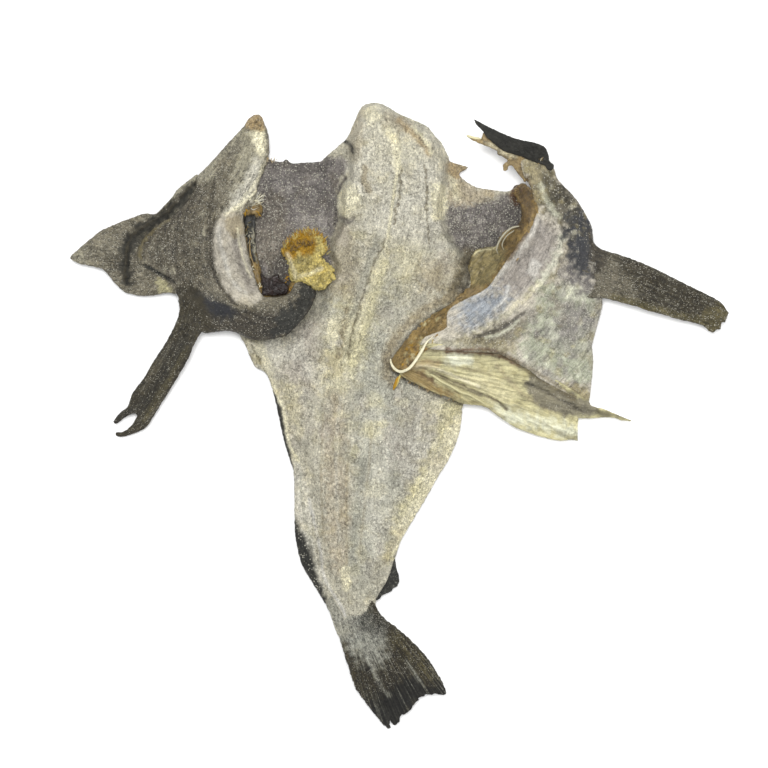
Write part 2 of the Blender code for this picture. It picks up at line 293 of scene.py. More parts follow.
class Noise:
    """Smooth seeded unevenness over a plane, from about -1 to 1."""

    def __init__(self, seed: int) -> None:
        """Draws the noise's directions.

        Args:
            seed: picks them.
        """
        rng = np.random.default_rng(seed)
        self.order = np.concatenate([rng.permutation(256)] * 2)
        angles = rng.uniform(0, 2 * np.pi, 256)
        self.slopes = np.stack([np.cos(angles), np.sin(angles)], axis=1)

    def at(self, points: Array) -> Array:
        """One layer of noise, whose bumps are about one unit across.

        Args:
            points: places in the plane, one row each.

        Returns:
            A number for each point.
        """
        cell = np.floor(points).astype(int)
        inside = points - cell
        fade = inside**3 * (inside * (inside * 6 - 15) + 10)
        corner = {}
        for i in (0, 1):
            for j in (0, 1):
                pick = self.order[self.order[(cell[:, 0] + i) & 255] + ((cell[:, 1] + j) & 255)]
                corner[i, j] = ((inside - (i, j)) * self.slopes[pick]).sum(axis=1)
        low = corner[0, 0] + fade[:, 0] * (corner[1, 0] - corner[0, 0])
        high = corner[0, 1] + fade[:, 0] * (corner[1, 1] - corner[0, 1])
        return 1.5 * (low + fade[:, 1] * (high - low))

    def layers(self, points: Array, size: float, octaves: int = 3) -> Array:
        """Several layers of noise, each half as wide and half as strong as the last."""
        return sum(self.at(points / size * 2**k + 17.3 * k) / 2**k for k in range(octaves))


class Form(Enum):
    """What a mark covers."""

    LINE = "along a course"
    AREA = "inside an outline"


@dataclass(frozen=True)
class Mark:
    """A feature of a surface, which tints what it covers and can raise or sink it."""

    form: Form  # whether the points are a course or an outline
    points: Sequence[tuple]  # the course or outline
    tone: Tone | None  # the colour it brings, or None for relief alone
    width: float  # a line's half width, or how softly an area's edge fades
    strength: float = 0.8  # how far the colour is carried
    relief: float = 0.0  # how far it stands up
    ragged: float = 0.8  # how much its edge wanders, as a share of its width
    salt: float = 0.0  # how much salt it brings or, below 0, clears

    def weights(self, points: Array, wander: Array) -> Array:
        """How fully the mark covers each point.

        Args:
            points: places on the surface.
            wander: three columns of noise at those places: two shift the mark and one breaks it up.

        Returns:
            Shares from 0 to 1.
        """
        is_line = self.form is Form.LINE
        course = curve_through(self.points) if is_line else closed_curve(self.points, EDGE_PITCH)
        reach = 3 * self.width + 4
        near = ((points > course.min(axis=0) - reach) & (points < course.max(axis=0) + reach)).all(axis=1)
        shares = np.zeros(len(points))
        if not near.any():
            return shares
        shifted = points[near] + 1.6 * self.ragged * wander[near, :2]
        breaks = self.ragged * wander[near, 2]
        if is_line:
            distance = nearest_on(shifted, course)[0]
            width = self.width * np.clip(1 + 0.5 * breaks, 0.3, 1.6)
            cover = np.minimum(1, 1.25 * np.exp(-((distance / width) ** 2)))
            shares[near] = cover * np.clip(0.95 + 0.6 * breaks, 0.25, 1)
        else:
            depth = depth_in(shifted, course) + breaks * self.width
            shares[near] = smooth_step(0.5 + depth / (2 * self.width))
        return shares


def line(
    tone: Tone | None, width: float, points: Sequence[tuple], strength: float = 0.8,
    relief: float = 0.0, ragged: float = 0.45, salt: float = 0.0,
) -> Mark:
    """A mark along a course."""
    return Mark(Form.LINE, points, tone, width, strength, relief, ragged, salt)


def area(
    tone: Tone | None, width: float, points: Sequence[tuple], strength: float = 0.8,
    relief: float = 0.0, ragged: float = 0.8, salt: float = 0.0,
) -> Mark:
    """A mark over an outline."""
    return Mark(Form.AREA, points, tone, width, strength, relief, ragged, salt)


def spot(
    tone: Tone | None, at: tuple, radii: tuple, strength: float = 0.8, *more: float, **named: float
) -> Mark:
    """A mark over an ellipse.

    Args:
        tone: its colour, or None for relief alone.
        at: the ellipse's middle.
        radii: its radii across and along the fish.
        strength: how far the colour is carried.
        more: Mark's relief, ragged and salt.
        named: the same, by name.

    Returns:
        The mark.
    """
    turns = np.linspace(0, 2 * np.pi, 8, endpoint=False)
    outline = [(at[0] + radii[0] * np.cos(t), at[1] + radii[1] * np.sin(t)) for t in turns]
    return area(tone, 0.45 * min(radii), outline, strength, *more, **named)


def blotches(
    tones: Sequence[Tone], outline: Outline, count: int, size: float, strength: float, seed: int,
    **more: float,
) -> list[Mark]:
    """Seeded uneven spots inside an outline.

    Args:
        tones: what each spot's colour is drawn from.
        outline: where the spots' middles lie.
        count: how many there are.
        size: their middling radius.
        strength: the strongest spot's strength.
        seed: picks them.
        more: Mark's other values.

    Returns:
        The spots.
    """
    rng = np.random.default_rng(seed)
    loop = closed_curve(outline, EDGE_PITCH)
    places = rng.uniform(loop.min(axis=0), loop.max(axis=0), (12 * count, 2))
    made = []
    for place in places[is_inside(places, loop)][:count]:
        radii = size * rng.uniform(0.5, 1.6, 2)
        tone = tones[rng.integers(len(tones))]
        made.append(spot(tone, tuple(place), tuple(radii), strength * rng.uniform(0.3, 1), **more))
    return made


@dataclass(frozen=True)
class Flow:
    """Which way the grain of a piece runs: along a course, or out from a point."""

    points: Sequence[tuple]  # the course, or the one point
    reference: float = 120.0  # for a fan, the distance at which its rays are as far apart as they say

    def places(self, points: Array) -> Array:
        """Each point's place across and along the grain.

        Args:
            points: places in the plane, one row each.

        Returns:
            Two numbers for each point, in millimetres.
        """
        if len(self.points) > 1:
            distance, along, side = nearest_on(points, curve_through(self.points, 5))
            return np.stack([distance * side, along], axis=1)
        gap = points - np.array(self.points[0])
        return np.stack([np.arctan2(gap[:, 1], gap[:, 0]) * self.reference, np.hypot(*gap.T)], axis=1)


@dataclass(frozen=True)
class Wrinkle:
    """Relief that runs with the grain."""

    across: float  # its size across the grain
    along: float  # its size along the grain
    height: float  # how far it stands up
    ridged: bool = False  # whether its crests are sharp, as those of fin rays are

    def relief(self, places: Array, noise: Noise) -> Array:
        """The height that it adds at places across and along the grain.

        Args:
            places: places across and along the grain.
            noise: the piece's unevenness.

        Returns:
            A height for each place.
        """
        if self.ridged:
            drift = 0.35 * noise.at(places / (3 * self.across, self.along))
            phase = places[:, 0] / self.across + drift
            return self.height * (1 - 2 * np.abs(np.sin(np.pi * phase)))
        return self.height * noise.layers(places / (self.across, self.along), 1.0, 2)


@dataclass
class Sheet:
    """A closed leathery sheet with a rounded edge, painted and creased by its marks."""

    name: str  # the piece's name
    outline: Outline  # its edge, as closed_curve takes it
    top: Height  # its upper side's height, a function of points and their depth inside the edge
    under: Height  # its lower side's height, in the same way
    ground: Tone  # its colour where no mark lies
    back: Tone  # the colour of its lower side
    flow: Flow  # which way its grain runs
    marks: Sequence[Mark] = ()  # what is drawn and creased on its upper side
    back_marks: Sequence[Mark] = ()  # what is drawn on its lower side
    wrinkles: Sequence[Wrinkle] = ()  # the relief that runs with its grain
    pitch: float = 1.15  # the distance between its upper side's vertices
    under_pitch: float = 2.6  # the distance between its lower side's vertices
    edge_radius: float = 1.6  # the width over which its edge rounds off
    fray: float = 0.35  # how far its outline wanders
    salt: float = 0.0  # how much salt lies on it
    mottle: float = 0.10  # how uneven its ground colour is
    seed: int = 1  # picks its noise

    def __post_init__(self) -> None:
        """Prepares the sheet's noise."""
        self.noise = Noise(self.seed)

    def loop(self) -> Array:
        """The sheet's edge, slightly frayed."""
        loop = closed_curve(self.outline, 0.9 * self.pitch)
        return loop + outward(loop) * (MARGIN + self.fray * self.noise.layers(loop, 3.2, 3)[:, None])

    def lattice(self, loop: Array, pitch: float) -> Array:
        """Points of a triangular lattice that lie inside the loop.

        Args:
            loop: the sheet's edge.
            pitch: the distance between neighbours.

        Returns:
            The points, one row each.
        """
        x0, y0 = loop.T
        x1, y1 = np.roll(loop, -1, axis=0).T
        rows = []
        for k, y in enumerate(np.arange(y0.min() + pitch / 3, y0.max(), pitch * np.sqrt(3) / 2)):
            crossed = (y0 > y) != (y1 > y)
            at = x0[crossed] + (y - y0[crossed]) * (x1 - x0)[crossed] / (y1 - y0)[crossed]
            at.sort()
            for start, end in zip(at[::2], at[1::2]):
                first = np.ceil(start / pitch - 0.5 * (k % 2)) + 0.5 * (k % 2)
                x = np.arange(first * pitch, end, pitch)
                rows.append(np.stack([x, np.full(len(x), y)], axis=1))
        return np.vstack(rows)

    def depths(self, points: Array, loop: Array) -> Array:
        """How deep inside the loop each of some inner points lies.

        Args:
            points: places inside the loop.
            loop: the sheet's edge.

        Returns:
            A distance for each point.
        """
        fine = spread_along(np.vstack([loop, loop[:1]]), 0.3)
        tree = kdtree.KDTree(len(fine))
        for i, (x, y) in enumerate(fine):
            tree.insert((x, y, 0), i)
        tree.balance()
        return np.array([tree.find((x, y, 0))[2] for x, y in points])

    def fill(self, loop: Array, pitch: float) -> tuple[Array, Array, list]:
        """Fills the loop with triangles.

        Args:
            loop: the sheet's edge.
            pitch: the distance between neighbouring points.

        Returns:
            The points, of which the loop's own come first, their depths, and the triangles, anticlockwise.
        """
        inset = 0.3 * self.edge_radius
        ring = (loop - outward(loop) * inset)[:: 1 if pitch == self.pitch else 2]
        ring = ring[is_inside(ring, loop)]
        ring = ring[self.depths(ring, loop) > 0.22 * self.edge_radius]
        inner = self.lattice(loop, pitch)
        inner = inner[self.depths(inner, loop) > inset + 0.4 * pitch]
        points = np.vstack([loop, ring, inner])
        depths = np.concatenate([np.zeros(len(loop)), self.depths(points[len(loop) :], loop)])
        edge = [list(range(len(loop)))]
        found = geometry.delaunay_2d_cdt([Vector(p) for p in points], [], edge, 1, 1e-5)
        if not all(found[3]):
            raise ValueError(f"the outline of {self.name} crosses itself")
        back = np.array([origins[0] for origins in found[3]])
        faces = back[np.array(found[2])]
        a, b, c = points[faces[:, 0]], points[faces[:, 1]], points[faces[:, 2]]
        turned = np.cross(b - a, c - a) < 0
        faces[turned] = faces[turned][:, ::-1]
        return points, depths, faces

    def paint(self, points: Array, ground: Tone, marks: Sequence[Mark]) -> tuple:
        """The colour, relief and salt that the ground and the marks give to each point.

        The lengths that are added to the points only keep the layers of noise apart.

        Args:
            points: places in the plane, one row each.
            ground: the colour where no mark lies.
            marks: what is drawn, from the first to the last.

        Returns:
            Each point's linear colour, relief and amount of salt.
        """
        wander = np.stack([self.noise.layers(points + 31.7 * k, 5.0, 3) for k in (1, 2, 3)], axis=1)
        tint = np.tile(ground.linear, (len(points), 1))
        tint *= 1 + self.mottle * self.noise.layers(points + 91.1, 11.0, 3)[:, None]
        relief, salt = np.zeros(len(points)), np.full(len(points), self.salt)
        for mark in marks:
            share = mark.weights(points, wander)
            relief += mark.relief * share
            salt += mark.salt * share
            if mark.tone:
                cover = (mark.strength * share)[:, None]
                tint = tint * (1 - cover) + mark.tone.linear * cover
        return tint, relief, np.clip(salt, 0, 2)

    def build(self) -> Object:
        """Makes the sheet's mesh with its tint, salt and flow attributes.

        Returns:
            The piece.
        """
        loop = self.loop()
        sides = []
        for pitch, ground, marks, is_top in (
            (self.pitch, self.ground, self.marks, True),
            (self.under_pitch, self.back, self.back_marks, False),
        ):
            points, depths, faces = self.fill(loop, pitch)
            high, low = self.top(points, depths), self.under(points, depths)
            curl = 1 - np.clip(depths / self.edge_radius, 0, 1)
            half = 0.5 * (high - low) * np.sqrt(1 - curl**2)
            tint, relief, salt = self.paint(points, ground, marks)
            places = self.flow.places(points)
            for k, wrinkle in enumerate(self.wrinkles):
                share = 1.0 if is_top else 0.5
                relief += share * wrinkle.relief(places + 7.7 * k, self.noise)
            z = 0.5 * (high + low) + (half if is_top else -half)
            z += relief * smooth_step(depths / 2.5) * (1.0 if is_top else 0.0)
            flow = np.column_stack([places, z])
            sides.append((points, z, faces if is_top else faces[:, ::-1], tint, salt * is_top, flow))
        return self.joined(sides, len(loop))

    def joined(self, sides: list, rim: int) -> Object:
        """One object of both sides, which share the vertices of the edge.

        Args:
            sides: for each side its points, heights, triangles, tint, salt and flow.
            rim: how many of the points are the edge's.

        Returns:
            The piece.
        """
        (up, up_z, up_faces, *up_looks), (low, low_z, low_faces, *low_looks) = sides
        shift = len(up) - rim
        low_faces = np.where(low_faces < rim, low_faces, low_faces + shift)
        vertices = np.vstack([np.column_stack([up, up_z]), np.column_stack([low, low_z])[rim:]])
        looks = [np.concatenate([a, b[rim:]]) for a, b in zip(up_looks, low_looks)]
        faces = np.vstack([up_faces, low_faces])
        # a triangle whose corners are all on the edge can lie in both sides, and is then left out of both
        _, kind, count = np.unique(np.sort(faces, axis=1), axis=0, return_inverse=True, return_counts=True)
        used, places = np.unique(faces[count[kind.ravel()] == 1], return_inverse=True)
        made = mesh_object(self.name, drawn_in(vertices[used]), places.reshape(-1, 3))
        write_looks(made, *(look[used] for look in looks))
        return made


def drawn_in(places: Array) -> Array:
    """Places laid out as they look from above, moved to where they stand at their heights."""
    share = places[:, 2:] / EYE[2]
    return np.column_stack([places[:, :2] + (EYE[:2] - places[:, :2]) * share, places[:, 2]])


def mesh_object(name: str, vertices: Array, faces: Array) -> Object:
    """A smooth-shaded object from vertices in millimetres and faces.

    Args:
        name: the piece's name.
        vertices: places, one row each.
        faces: vertex numbers, one row for each face.

    Returns:
        The object, in the scene.
    """
    mesh = bpy.data.meshes.new(name)
    mesh.from_pydata((vertices * MM).tolist(), [], faces.tolist())
    mesh.shade_smooth()
    made = bpy.data.objects.new(name, mesh)
    bpy.context.scene.collection.objects.link(made)
    return made


def write_looks(made: Object, tint: Array, salt: Array, flow: Array) -> None:
    """Stores what the finishes read: tint (linear colour), salt (amount) and flow (millimetres).

    Args:
        made: the piece.
        tint: a linear colour for each vertex.
        salt: an amount of salt for each vertex.
        flow: the place across and along the grain, and the height, in millimetres.
    """
    attributes = made.data.attributes
    colours = np.column_stack([np.clip(tint, 0, 1), np.ones(len(tint))])
    attributes.new("tint", "FLOAT_COLOR", "POINT").data.foreach_set("color", colours.ravel())
    attributes.new("salt", "FLOAT", "POINT").data.foreach_set("value", salt.ravel())
    attributes.new("flow", "FLOAT_VECTOR", "POINT").data.foreach_set("vector", flow.ravel())


# Finishes


class Value:
    """A number socket of a shader, on which the usual operators add Math nodes."""

    def __init__(self, shader: Shader, socket: NodeSocket) -> None:
        """Wraps an output socket."""
        self.shader = shader
        self.socket = socket

    def math(self, operation: str, *others: Value | float) -> Value:
        """A Math node with this socket first."""
        return self.shader.math(operation, self, *others)

    def __add__(self, other: Value | float) -> Value:
        """Sum."""
        return self.math("ADD", other)

    __radd__ = __add__

    def __sub__(self, other: Value | float) -> Value:
        """Difference."""
        return self.math("SUBTRACT", other)

    def __rsub__(self, other: Value | float) -> Value:
        """Difference from a number."""
        return self.shader.math("SUBTRACT", other, self)

    def __mul__(self, other: Value | float) -> Value:
        """Product."""
        return self.math("MULTIPLY", other)

    __rmul__ = __mul__

    def between(self, low: float, high: float) -> Value:
        """A smooth rise from 0 at low to 1 at high, or a fall if low is above high.

        Args:
            low: where it is 0.
            high: where it is 1.

        Returns:
            The new socket.
        """
        start, end = (low, high) if low < high else (high, low)
        found = self.shader.node(
            "MapRange",
            {"interpolation_type": "SMOOTHSTEP"},
            {"Value": self, "From Min": start, "From Max": end},
        )
        rise = found.outputs["Result"]
        return Value(self.shader, rise) if low < high else 1 - Value(self.shader, rise)


class Tree:
    """A node tree under construction."""

    prefix = ""
    tree: bpy.types.NodeTree

    def node(self, kind: str, settings: dict, values: dict) -> Node:
        """Adds a node.

        Args:
            kind: the node's type, without the prefix of this kind of tree.
            settings: the node's own properties, which are set first.
            values: numbers, tuples or links for its input sockets, by name or by number.

        Returns:
            The node.
        """
        made = self.tree.nodes.new(kind if "Node" in kind else self.prefix + kind)
        for name, setting in settings.items():
            setattr(made, name, setting)
        for name, value in values.items():
            socket = made.inputs[name]
            if isinstance(value, Value):
                value = value.socket
            if isinstance(value, NodeSocket):
                self.tree.links.new(value, socket)
            else:
                socket.default_value = value
        return made


class Shader(Tree):
    """A material under construction, with short names for the nodes that the finishes use."""

    prefix = "ShaderNode"

    def __init__(self, name: str) -> None:
        """Starts an empty node tree.

        Args:
            name: the material's name.
        """
        self.material = bpy.data.materials.new(name)
        self.material.use_nodes = True
        self.tree = self.material.node_tree
        self.tree.nodes.clear()

    def math(self, operation: str, *values: Value | float) -> Value:
        """A Math node on values or numbers."""
        made = self.node("Math", {"operation": operation}, dict(enumerate(values)))
        return Value(self, made.outputs[0])

    def attribute(self, name: str, output: str) -> NodeSocket:
        """An output of one of the piece's own attributes."""
        return self.node("Attribute", {"attribute_name": name}, {}).outputs[output]

    def coordinates(self) -> NodeSocket:
        """Places on the object, in millimetres."""
        source = self.node("TexCoord", {}, {}).outputs["Object"]
        return self.scaled(source, (1 / MM,) * 3)

    def scaled(self, vector: NodeSocket, by: tuple) -> NodeSocket:
        """A vector times one number an axis."""
        return self.node("VectorMath", {"operation": "MULTIPLY"}, {0: vector, 1: by}).outputs[0]

    def noise(
        self, vector: NodeSocket, size: float, detail: float = 2.0, distortion: float = 0.0
    ) -> Value:
        """Noise around 0.5.

        Args:
            vector: the places.
            size: how far its bumps are across, in the vector's units.
            detail: how many finer layers it has.
            distortion: how far it is twisted.

        Returns:
            The noise.
        """
        values = {
            "Vector": vector, "Scale": 1 / size, "Detail": detail, "Roughness": 0.6, "Distortion": distortion,
        }
        return Value(self, self.node("TexNoise", {}, values).outputs["Fac"])

    def cells(self, vector: NodeSocket, size: float) -> tuple[Value, Value]:
        """The distance to the nearest of some scattered points, in spacings, and that point's own lot.

        Args:
            vector: the places.
            size: the spacing of the points, in the vector's units.

        Returns:
            The distance and the lot.
        """
        values = {"Vector": vector, "Scale": 1 / size, "Randomness": 1.0}
        found = self.node("TexVoronoi", {}, values).outputs
        lot = self.node("VectorMath", {"operation": "DOT_PRODUCT"}, {0: found["Color"], 1: (1.0, 0.0, 0.0)})
        return Value(self, found["Distance"]), Value(self, lot.outputs["Value"])

    def mix(
        self, factor: Value | float, a: NodeSocket | tuple, b: NodeSocket | tuple, blend: str = "MIX"
    ) -> NodeSocket:
        """A colour between a and b, or a blend of them.

        Args:
            factor: how much of b is taken.
            a: a colour.
            b: a colour.
            blend: the kind of blend.

        Returns:
            The new colour.
        """
        settings = {"data_type": "RGBA", "blend_type": blend, "clamp_factor": True}
        made = self.node("Mix", settings, {0: factor, 6: a, 7: b})
        return made.outputs[2]

    def brighten(self, colour: NodeSocket, by: Value) -> NodeSocket:
        """A colour times a number."""
        return self.node("VectorMath", {"operation": "SCALE"}, {0: colour, "Scale": by}).outputs[0]

    def bump(self, height: Value, distance: float) -> NodeSocket:
        """A surface direction from a height, whose unit is distance in millimetres."""
        values = {"Height": height, "Distance": distance * MM, "Strength": 1.0}
        return self.node("Bump", {}, values).outputs["Normal"]

    def finish(self, **values: Value | NodeSocket | float) -> Material:
        """Closes the material with a Principled shader, whose inputs are named with underscores.

        Args:
            values: numbers, colours or sockets for the inputs.

        Returns:
            The material.
        """
        inputs = {name.replace("_", " "): value for name, value in values.items()}
        shader = self.node("BsdfPrincipled", {}, inputs)
        self.node("OutputMaterial", {}, {"Surface": shader.outputs[0]})
        return self.material


def rgba(tone: Tone) -> tuple:
    """A tone as linear red, green, blue and 1."""
    return (*tone.linear, 1.0)


WARM, COOL = (1.0, 0.93, 0.70, 1), (0.90, 0.92, 1.0, 1)  # what patches of a dried surface are multiplied by
# the colours below darken creases, the gaps between fin rays and small pits: painted shade
CREASE_SHADE, GAP_SHADE, PIT_SHADE = (0.30, 0.27, 0.22, 1), (0.30, 0.28, 0.25, 1), (0.33, 0.30, 0.26, 1)  # and its hollows


@dataclass(frozen=True)
class DriedFinish:
    """A dry fish surface. Its colour comes from the piece's tint and its grain from the piece's flow."""

    name: str  # the material's name
    fibre: float = 0.35  # how much the tone changes with the fibres that run along the flow
    fibre_size: tuple = (1.5, 3.0)  # the fibres' size across and along the flow
    grit: float = 0.40  # how much the tone changes with the fine grit
    grit_size: float = 1.5  # the grit's size
    clouds: float = 0.30  # how much the tone changes over a centimetre
    streaks: float = 0.25  # how much the tone changes in long streaks along the flow
    warmth: float = 0.35  # how far patches lean to yellow, and others to a cool grey
    creases: float = 0.30  # how dark the painted shade in the fine wandering creases is
    crease_size: float = 7.0  # the distance between creases
    specks: float = 0.45  # how dark the painted shade in the small pits is
    speck_size: float = 3.2  # the distance between pits
    rays: float = 0.0  # how dark the painted shade in the gaps between fin rays is, and how pale their crests are
    ray_pitch: float = 1.4  # the rays' width
    ray_start: float = 0.0  # how far along the flow the rays begin
    satin: float = 0.0  # how far the fibres and the grit fade where no salt lies
    salt: float = 0.5  # how strongly fine salt whitens the surface
    salt_size: float = 1.15  # the distance between grains of fine salt
    bump: float = 0.6  # the height of the finest relief
    roughness: float = 0.78  # how matt it is, from 0 to 1
    gloss: float = 0.0  # how much thin gloss lies over it

    def material(self) -> Material:
        """Builds the node tree.

        Returns:
            The material.
        """
        shader = Shader(self.name)
        place, flow = shader.coordinates(), shader.attribute("flow", "Vector")
        across, along = self.fibre_size
        fibre = shader.noise(shader.scaled(flow, (1 / across, 1 / along, 1 / across)), 1.0, 3.0, 0.7)
        fibre = fibre.between(0.30, 0.70)
        grit = shader.noise(place, self.grit_size, 3.0, 1.2).between(0.32, 0.68)
        cloud = shader.noise(place, 9.0, 5.0).between(0.28, 0.72)
        fold = shader.noise(place, self.crease_size, 4.0) - 0.5
        crease = fold.math("ABSOLUTE").between(0.035, 0.0)
        crease = crease * shader.noise(place, 2.3 * self.crease_size, 1.0).between(0.40, 0.60)
        streak = shader.noise(shader.scaled(flow, (1 / 3.2, 1 / 38, 0.0)), 1.0, 3.0, 0.3).between(0.30, 0.70)
        amount = Value(shader, shader.attribute("salt", "Fac"))
        # The fibres, grit and streaks also raise the bump height below, so this tone is partly the surface's
        # own grain and partly painted shade, darker where the fine relief sinks.
        tone = self.fibre * (fibre - 0.5) + self.grit * (grit - 0.5) + self.streaks * (streak - 0.5)
        if self.satin:
            tone = tone * (1 - self.satin * amount.between(0.40, 0.12))
        tone = tone + 1 + self.clouds * (cloud - 0.5)
        colour = shader.brighten(shader.attribute("tint", "Color"), tone)
        patches = shader.noise(shader.scaled(place, (1, 1, 0)), 14.0, 3.0)
        colour = shader.mix(patches.between(0.50, 0.72) * self.warmth, colour, WARM, "MULTIPLY")
        colour = shader.mix(patches.between(0.48, 0.28) * self.warmth, colour, COOL, "MULTIPLY")
        height = 0.5 * fibre + 0.5 * grit + 0.5 * streak - 0.8 * crease
        # painted shade in the fine creases
        colour = shader.mix(crease * self.creases, colour, CREASE_SHADE, "MULTIPLY")
        if self.rays:
            rays = shader.noise(shader.scaled(flow, (1 / self.ray_pitch, 1 / 45, 0.0)), 1.0, 2.0)
            reach = Value(shader, shader.node("SeparateXYZ", {}, {0: flow}).outputs["Y"])
            shown = self.rays * reach.between(self.ray_start - 0.1, self.ray_start + 25)
            gap, crest = rays.between(0.52, 0.42), rays.between(0.55, 0.68)
            # painted shade in the gaps between the rays
            colour = shader.mix(gap * shown, colour, GAP_SHADE, "MULTIPLY")
            colour = shader.mix(crest * grit * shown * 0.5, colour, rgba(Tone.FLESH_GREY))
            height = height + 1.5 * rays
        near, lot = shader.cells(shader.scaled(place, (1, 1, 0.6)), self.speck_size)
        speck = near.between(0.30, 0.12) * lot.between(0.35, 0.55) * self.specks
        # painted shade in the small pits
        colour = shader.mix(speck, colour, PIT_SHADE, "MULTIPLY")
        near, lot = shader.cells(place, self.salt_size)
        patch = shader.noise(place, 4.5, 2.0)
        chosen = (lot + 0.5 * amount + 1.6 * (patch - 0.5)).between(0.62, 1.25)
        dust = near.between(0.50, 0.20) * chosen * amount.between(0.0, 0.4) * self.salt
        colour = shader.mix(dust, colour, rgba(Tone.DUST))
        return shader.finish(
            Base_Color=colour,
            Roughness=self.roughness + 0.16 * (cloud - 0.5) + 0.1 * dust,
            Normal=shader.bump(height + 0.5 * dust - 0.4 * speck, self.bump),
            Coat_Weight=self.gloss,
            Coat_Roughness=0.35,
        )


@dataclass(frozen=True)
class CrystalFinish:
    """Coarse dried salt: white, slightly clear and a little glossy."""

    name: str = "salt_crystals"  # the material's name
    roughness: float = 0.35  # how matt it is, from 0 to 1

    def material(self) -> Material:
        """Builds the node tree.

        Returns:
            The material.
        """
        shader = Shader(self.name)
        place = shader.coordinates()
        haze = shader.noise(place, 1.6, 2.0)
        colour = shader.mix(haze.between(0.35, 0.65), rgba(Tone.SALT), rgba(Tone.FIN_GREY))
        return shader.finish(
            Base_Color=colour,
            Roughness=self.roughness + 0.2 * (haze - 0.5),
            Normal=shader.bump(haze, 0.1),
            IOR=1.54,
        )


class Finish(Enum):
    """The finishes of the fish, each built once."""

    FLESH = DriedFinish(
        "dried_flesh", fibre=0.42, fibre_size=(1.4, 3.0), grit=0.72, grit_size=1.5, clouds=0.28, streaks=0.18,
        creases=0.12, crease_size=9.0, specks=0.45, salt=1.0, salt_size=1.5, bump=1.1, roughness=0.85,
    )
    COLLAR = DriedFinish(
        "collar_skin", fibre=0.60, fibre_size=(1.4, 5.0), grit=0.85, grit_size=1.5, streaks=0.5, warmth=0.3,
        creases=0.2, specks=0.4, satin=0.55, salt=0.95, salt_size=1.05, bump=0.8, roughness=0.62,
    )
    SATIN = DriedFinish(
        "satin_membrane", fibre=0.45, fibre_size=(1.5, 8.0), grit=0.50, clouds=0.3, warmth=0.15,
        creases=0.2, specks=0.3, salt=0.8, salt_size=1.4, bump=0.5, roughness=0.48, gloss=0.12,
    )
    FIN = DriedFinish(
        "fin_skin", fibre=0.6, fibre_size=(1.4, 5.0), grit=0.8, warmth=0.3, creases=0.1, specks=0.35,
        rays=0.4, ray_pitch=1.6, salt=0.8, salt_size=1.0, roughness=0.6,
    )
    TAIL = DriedFinish(
        "tail_rays", fibre=0.8, fibre_size=(1.2, 6.0), grit=1.0, warmth=0.3, creases=0.0, specks=0.4,
        rays=1.0, ray_pitch=1.0, ray_start=95.0, salt=0.8, salt_size=0.9, bump=0.9, roughness=0.7,
    )
    WEB = DriedFinish(
        "lower_web", fibre=0.36, fibre_size=(1.3, 16.0), grit=0.26, clouds=0.22, warmth=0.3, creases=0.05,
        specks=0.12, rays=0.35, ray_pitch=2.0, streaks=0.35, salt=0.4, bump=0.45, roughness=0.58,
    )
    HORN = DriedFinish(
        "horn_rim", fibre=0.50, fibre_size=(1.6, 3.5), grit=0.40, clouds=0.7, creases=0.3, specks=0.3,
        salt=0.3, bump=0.8, roughness=0.45, gloss=0.2,
    )
    CRUST = DriedFinish(
        "gill_crust", fibre=0.35, fibre_size=(1.2, 1.2), grit=0.5, clouds=0.5, creases=0.3,
        crease_size=4.0, specks=0.4, salt=0.3, bump=0.9, roughness=0.6, gloss=0.08,
    )
    BLOOD = DriedFinish(
        "dried_blood", fibre=0.6, fibre_size=(1.2, 1.2), grit=0.9, clouds=0.8, warmth=0.0, specks=0.3,
        salt=0.5, bump=0.9, roughness=0.3, gloss=0.4,
    )
    STRAND = DriedFinish(
        "dried_strands", fibre=0.2, grit=0.25, clouds=0.15, warmth=0.2, creases=0.0, specks=0.15, salt=0.1,
        bump=0.2, roughness=0.5,
    )
    SALT = CrystalFinish()

    def dress(self, made: Object) -> Object:
        """Puts the finish on an object, and builds it if nothing wears it yet.

        Args:
            made: the piece.

        Returns:
            The same piece.
        """
        material = bpy.data.materials.get(self.value.name) or self.value.material()
        made.data.materials.clear()
        made.data.materials.append(material)
        return made


# The fish


def slab(height: Callable[[Array], Array], thickness: float, edge: float) -> tuple[Height, Height]:
    """The two sides of a sheet that is thinner towards its edge.

    Args:
        height: the upper side's height, a function of points.
        thickness: the sheet's thickness 10 mm and more from its edge.
        edge: its thickness at the edge.

    Returns:
        The upper and the lower side's functions.
    """

    def top(points: Array, depth: Array) -> Array:
        """The upper side."""
        return height(points)

    def under(points: Array, depth: Array) -> Array:
        """The lower side."""
        return height(points) - edge - (thickness - edge) * smooth_step(depth / 10)

    return top, under


def level(height: float, crown: float = 0.0, shoulder: float = 1.0) -> Height:
    """A side at one height, which rises by its crown over a shoulder inside the edge."""
    return lambda points, depth: height + crown * smooth_step(depth / shoulder)


def ridge(points: Array, course: Sequence[tuple], height: float, half_width: float) -> Array:
    """A rounded ridge along a course."""
    return height * np.exp(-((nearest_on(points, curve_through(course))[0] / half_width) ** 2))


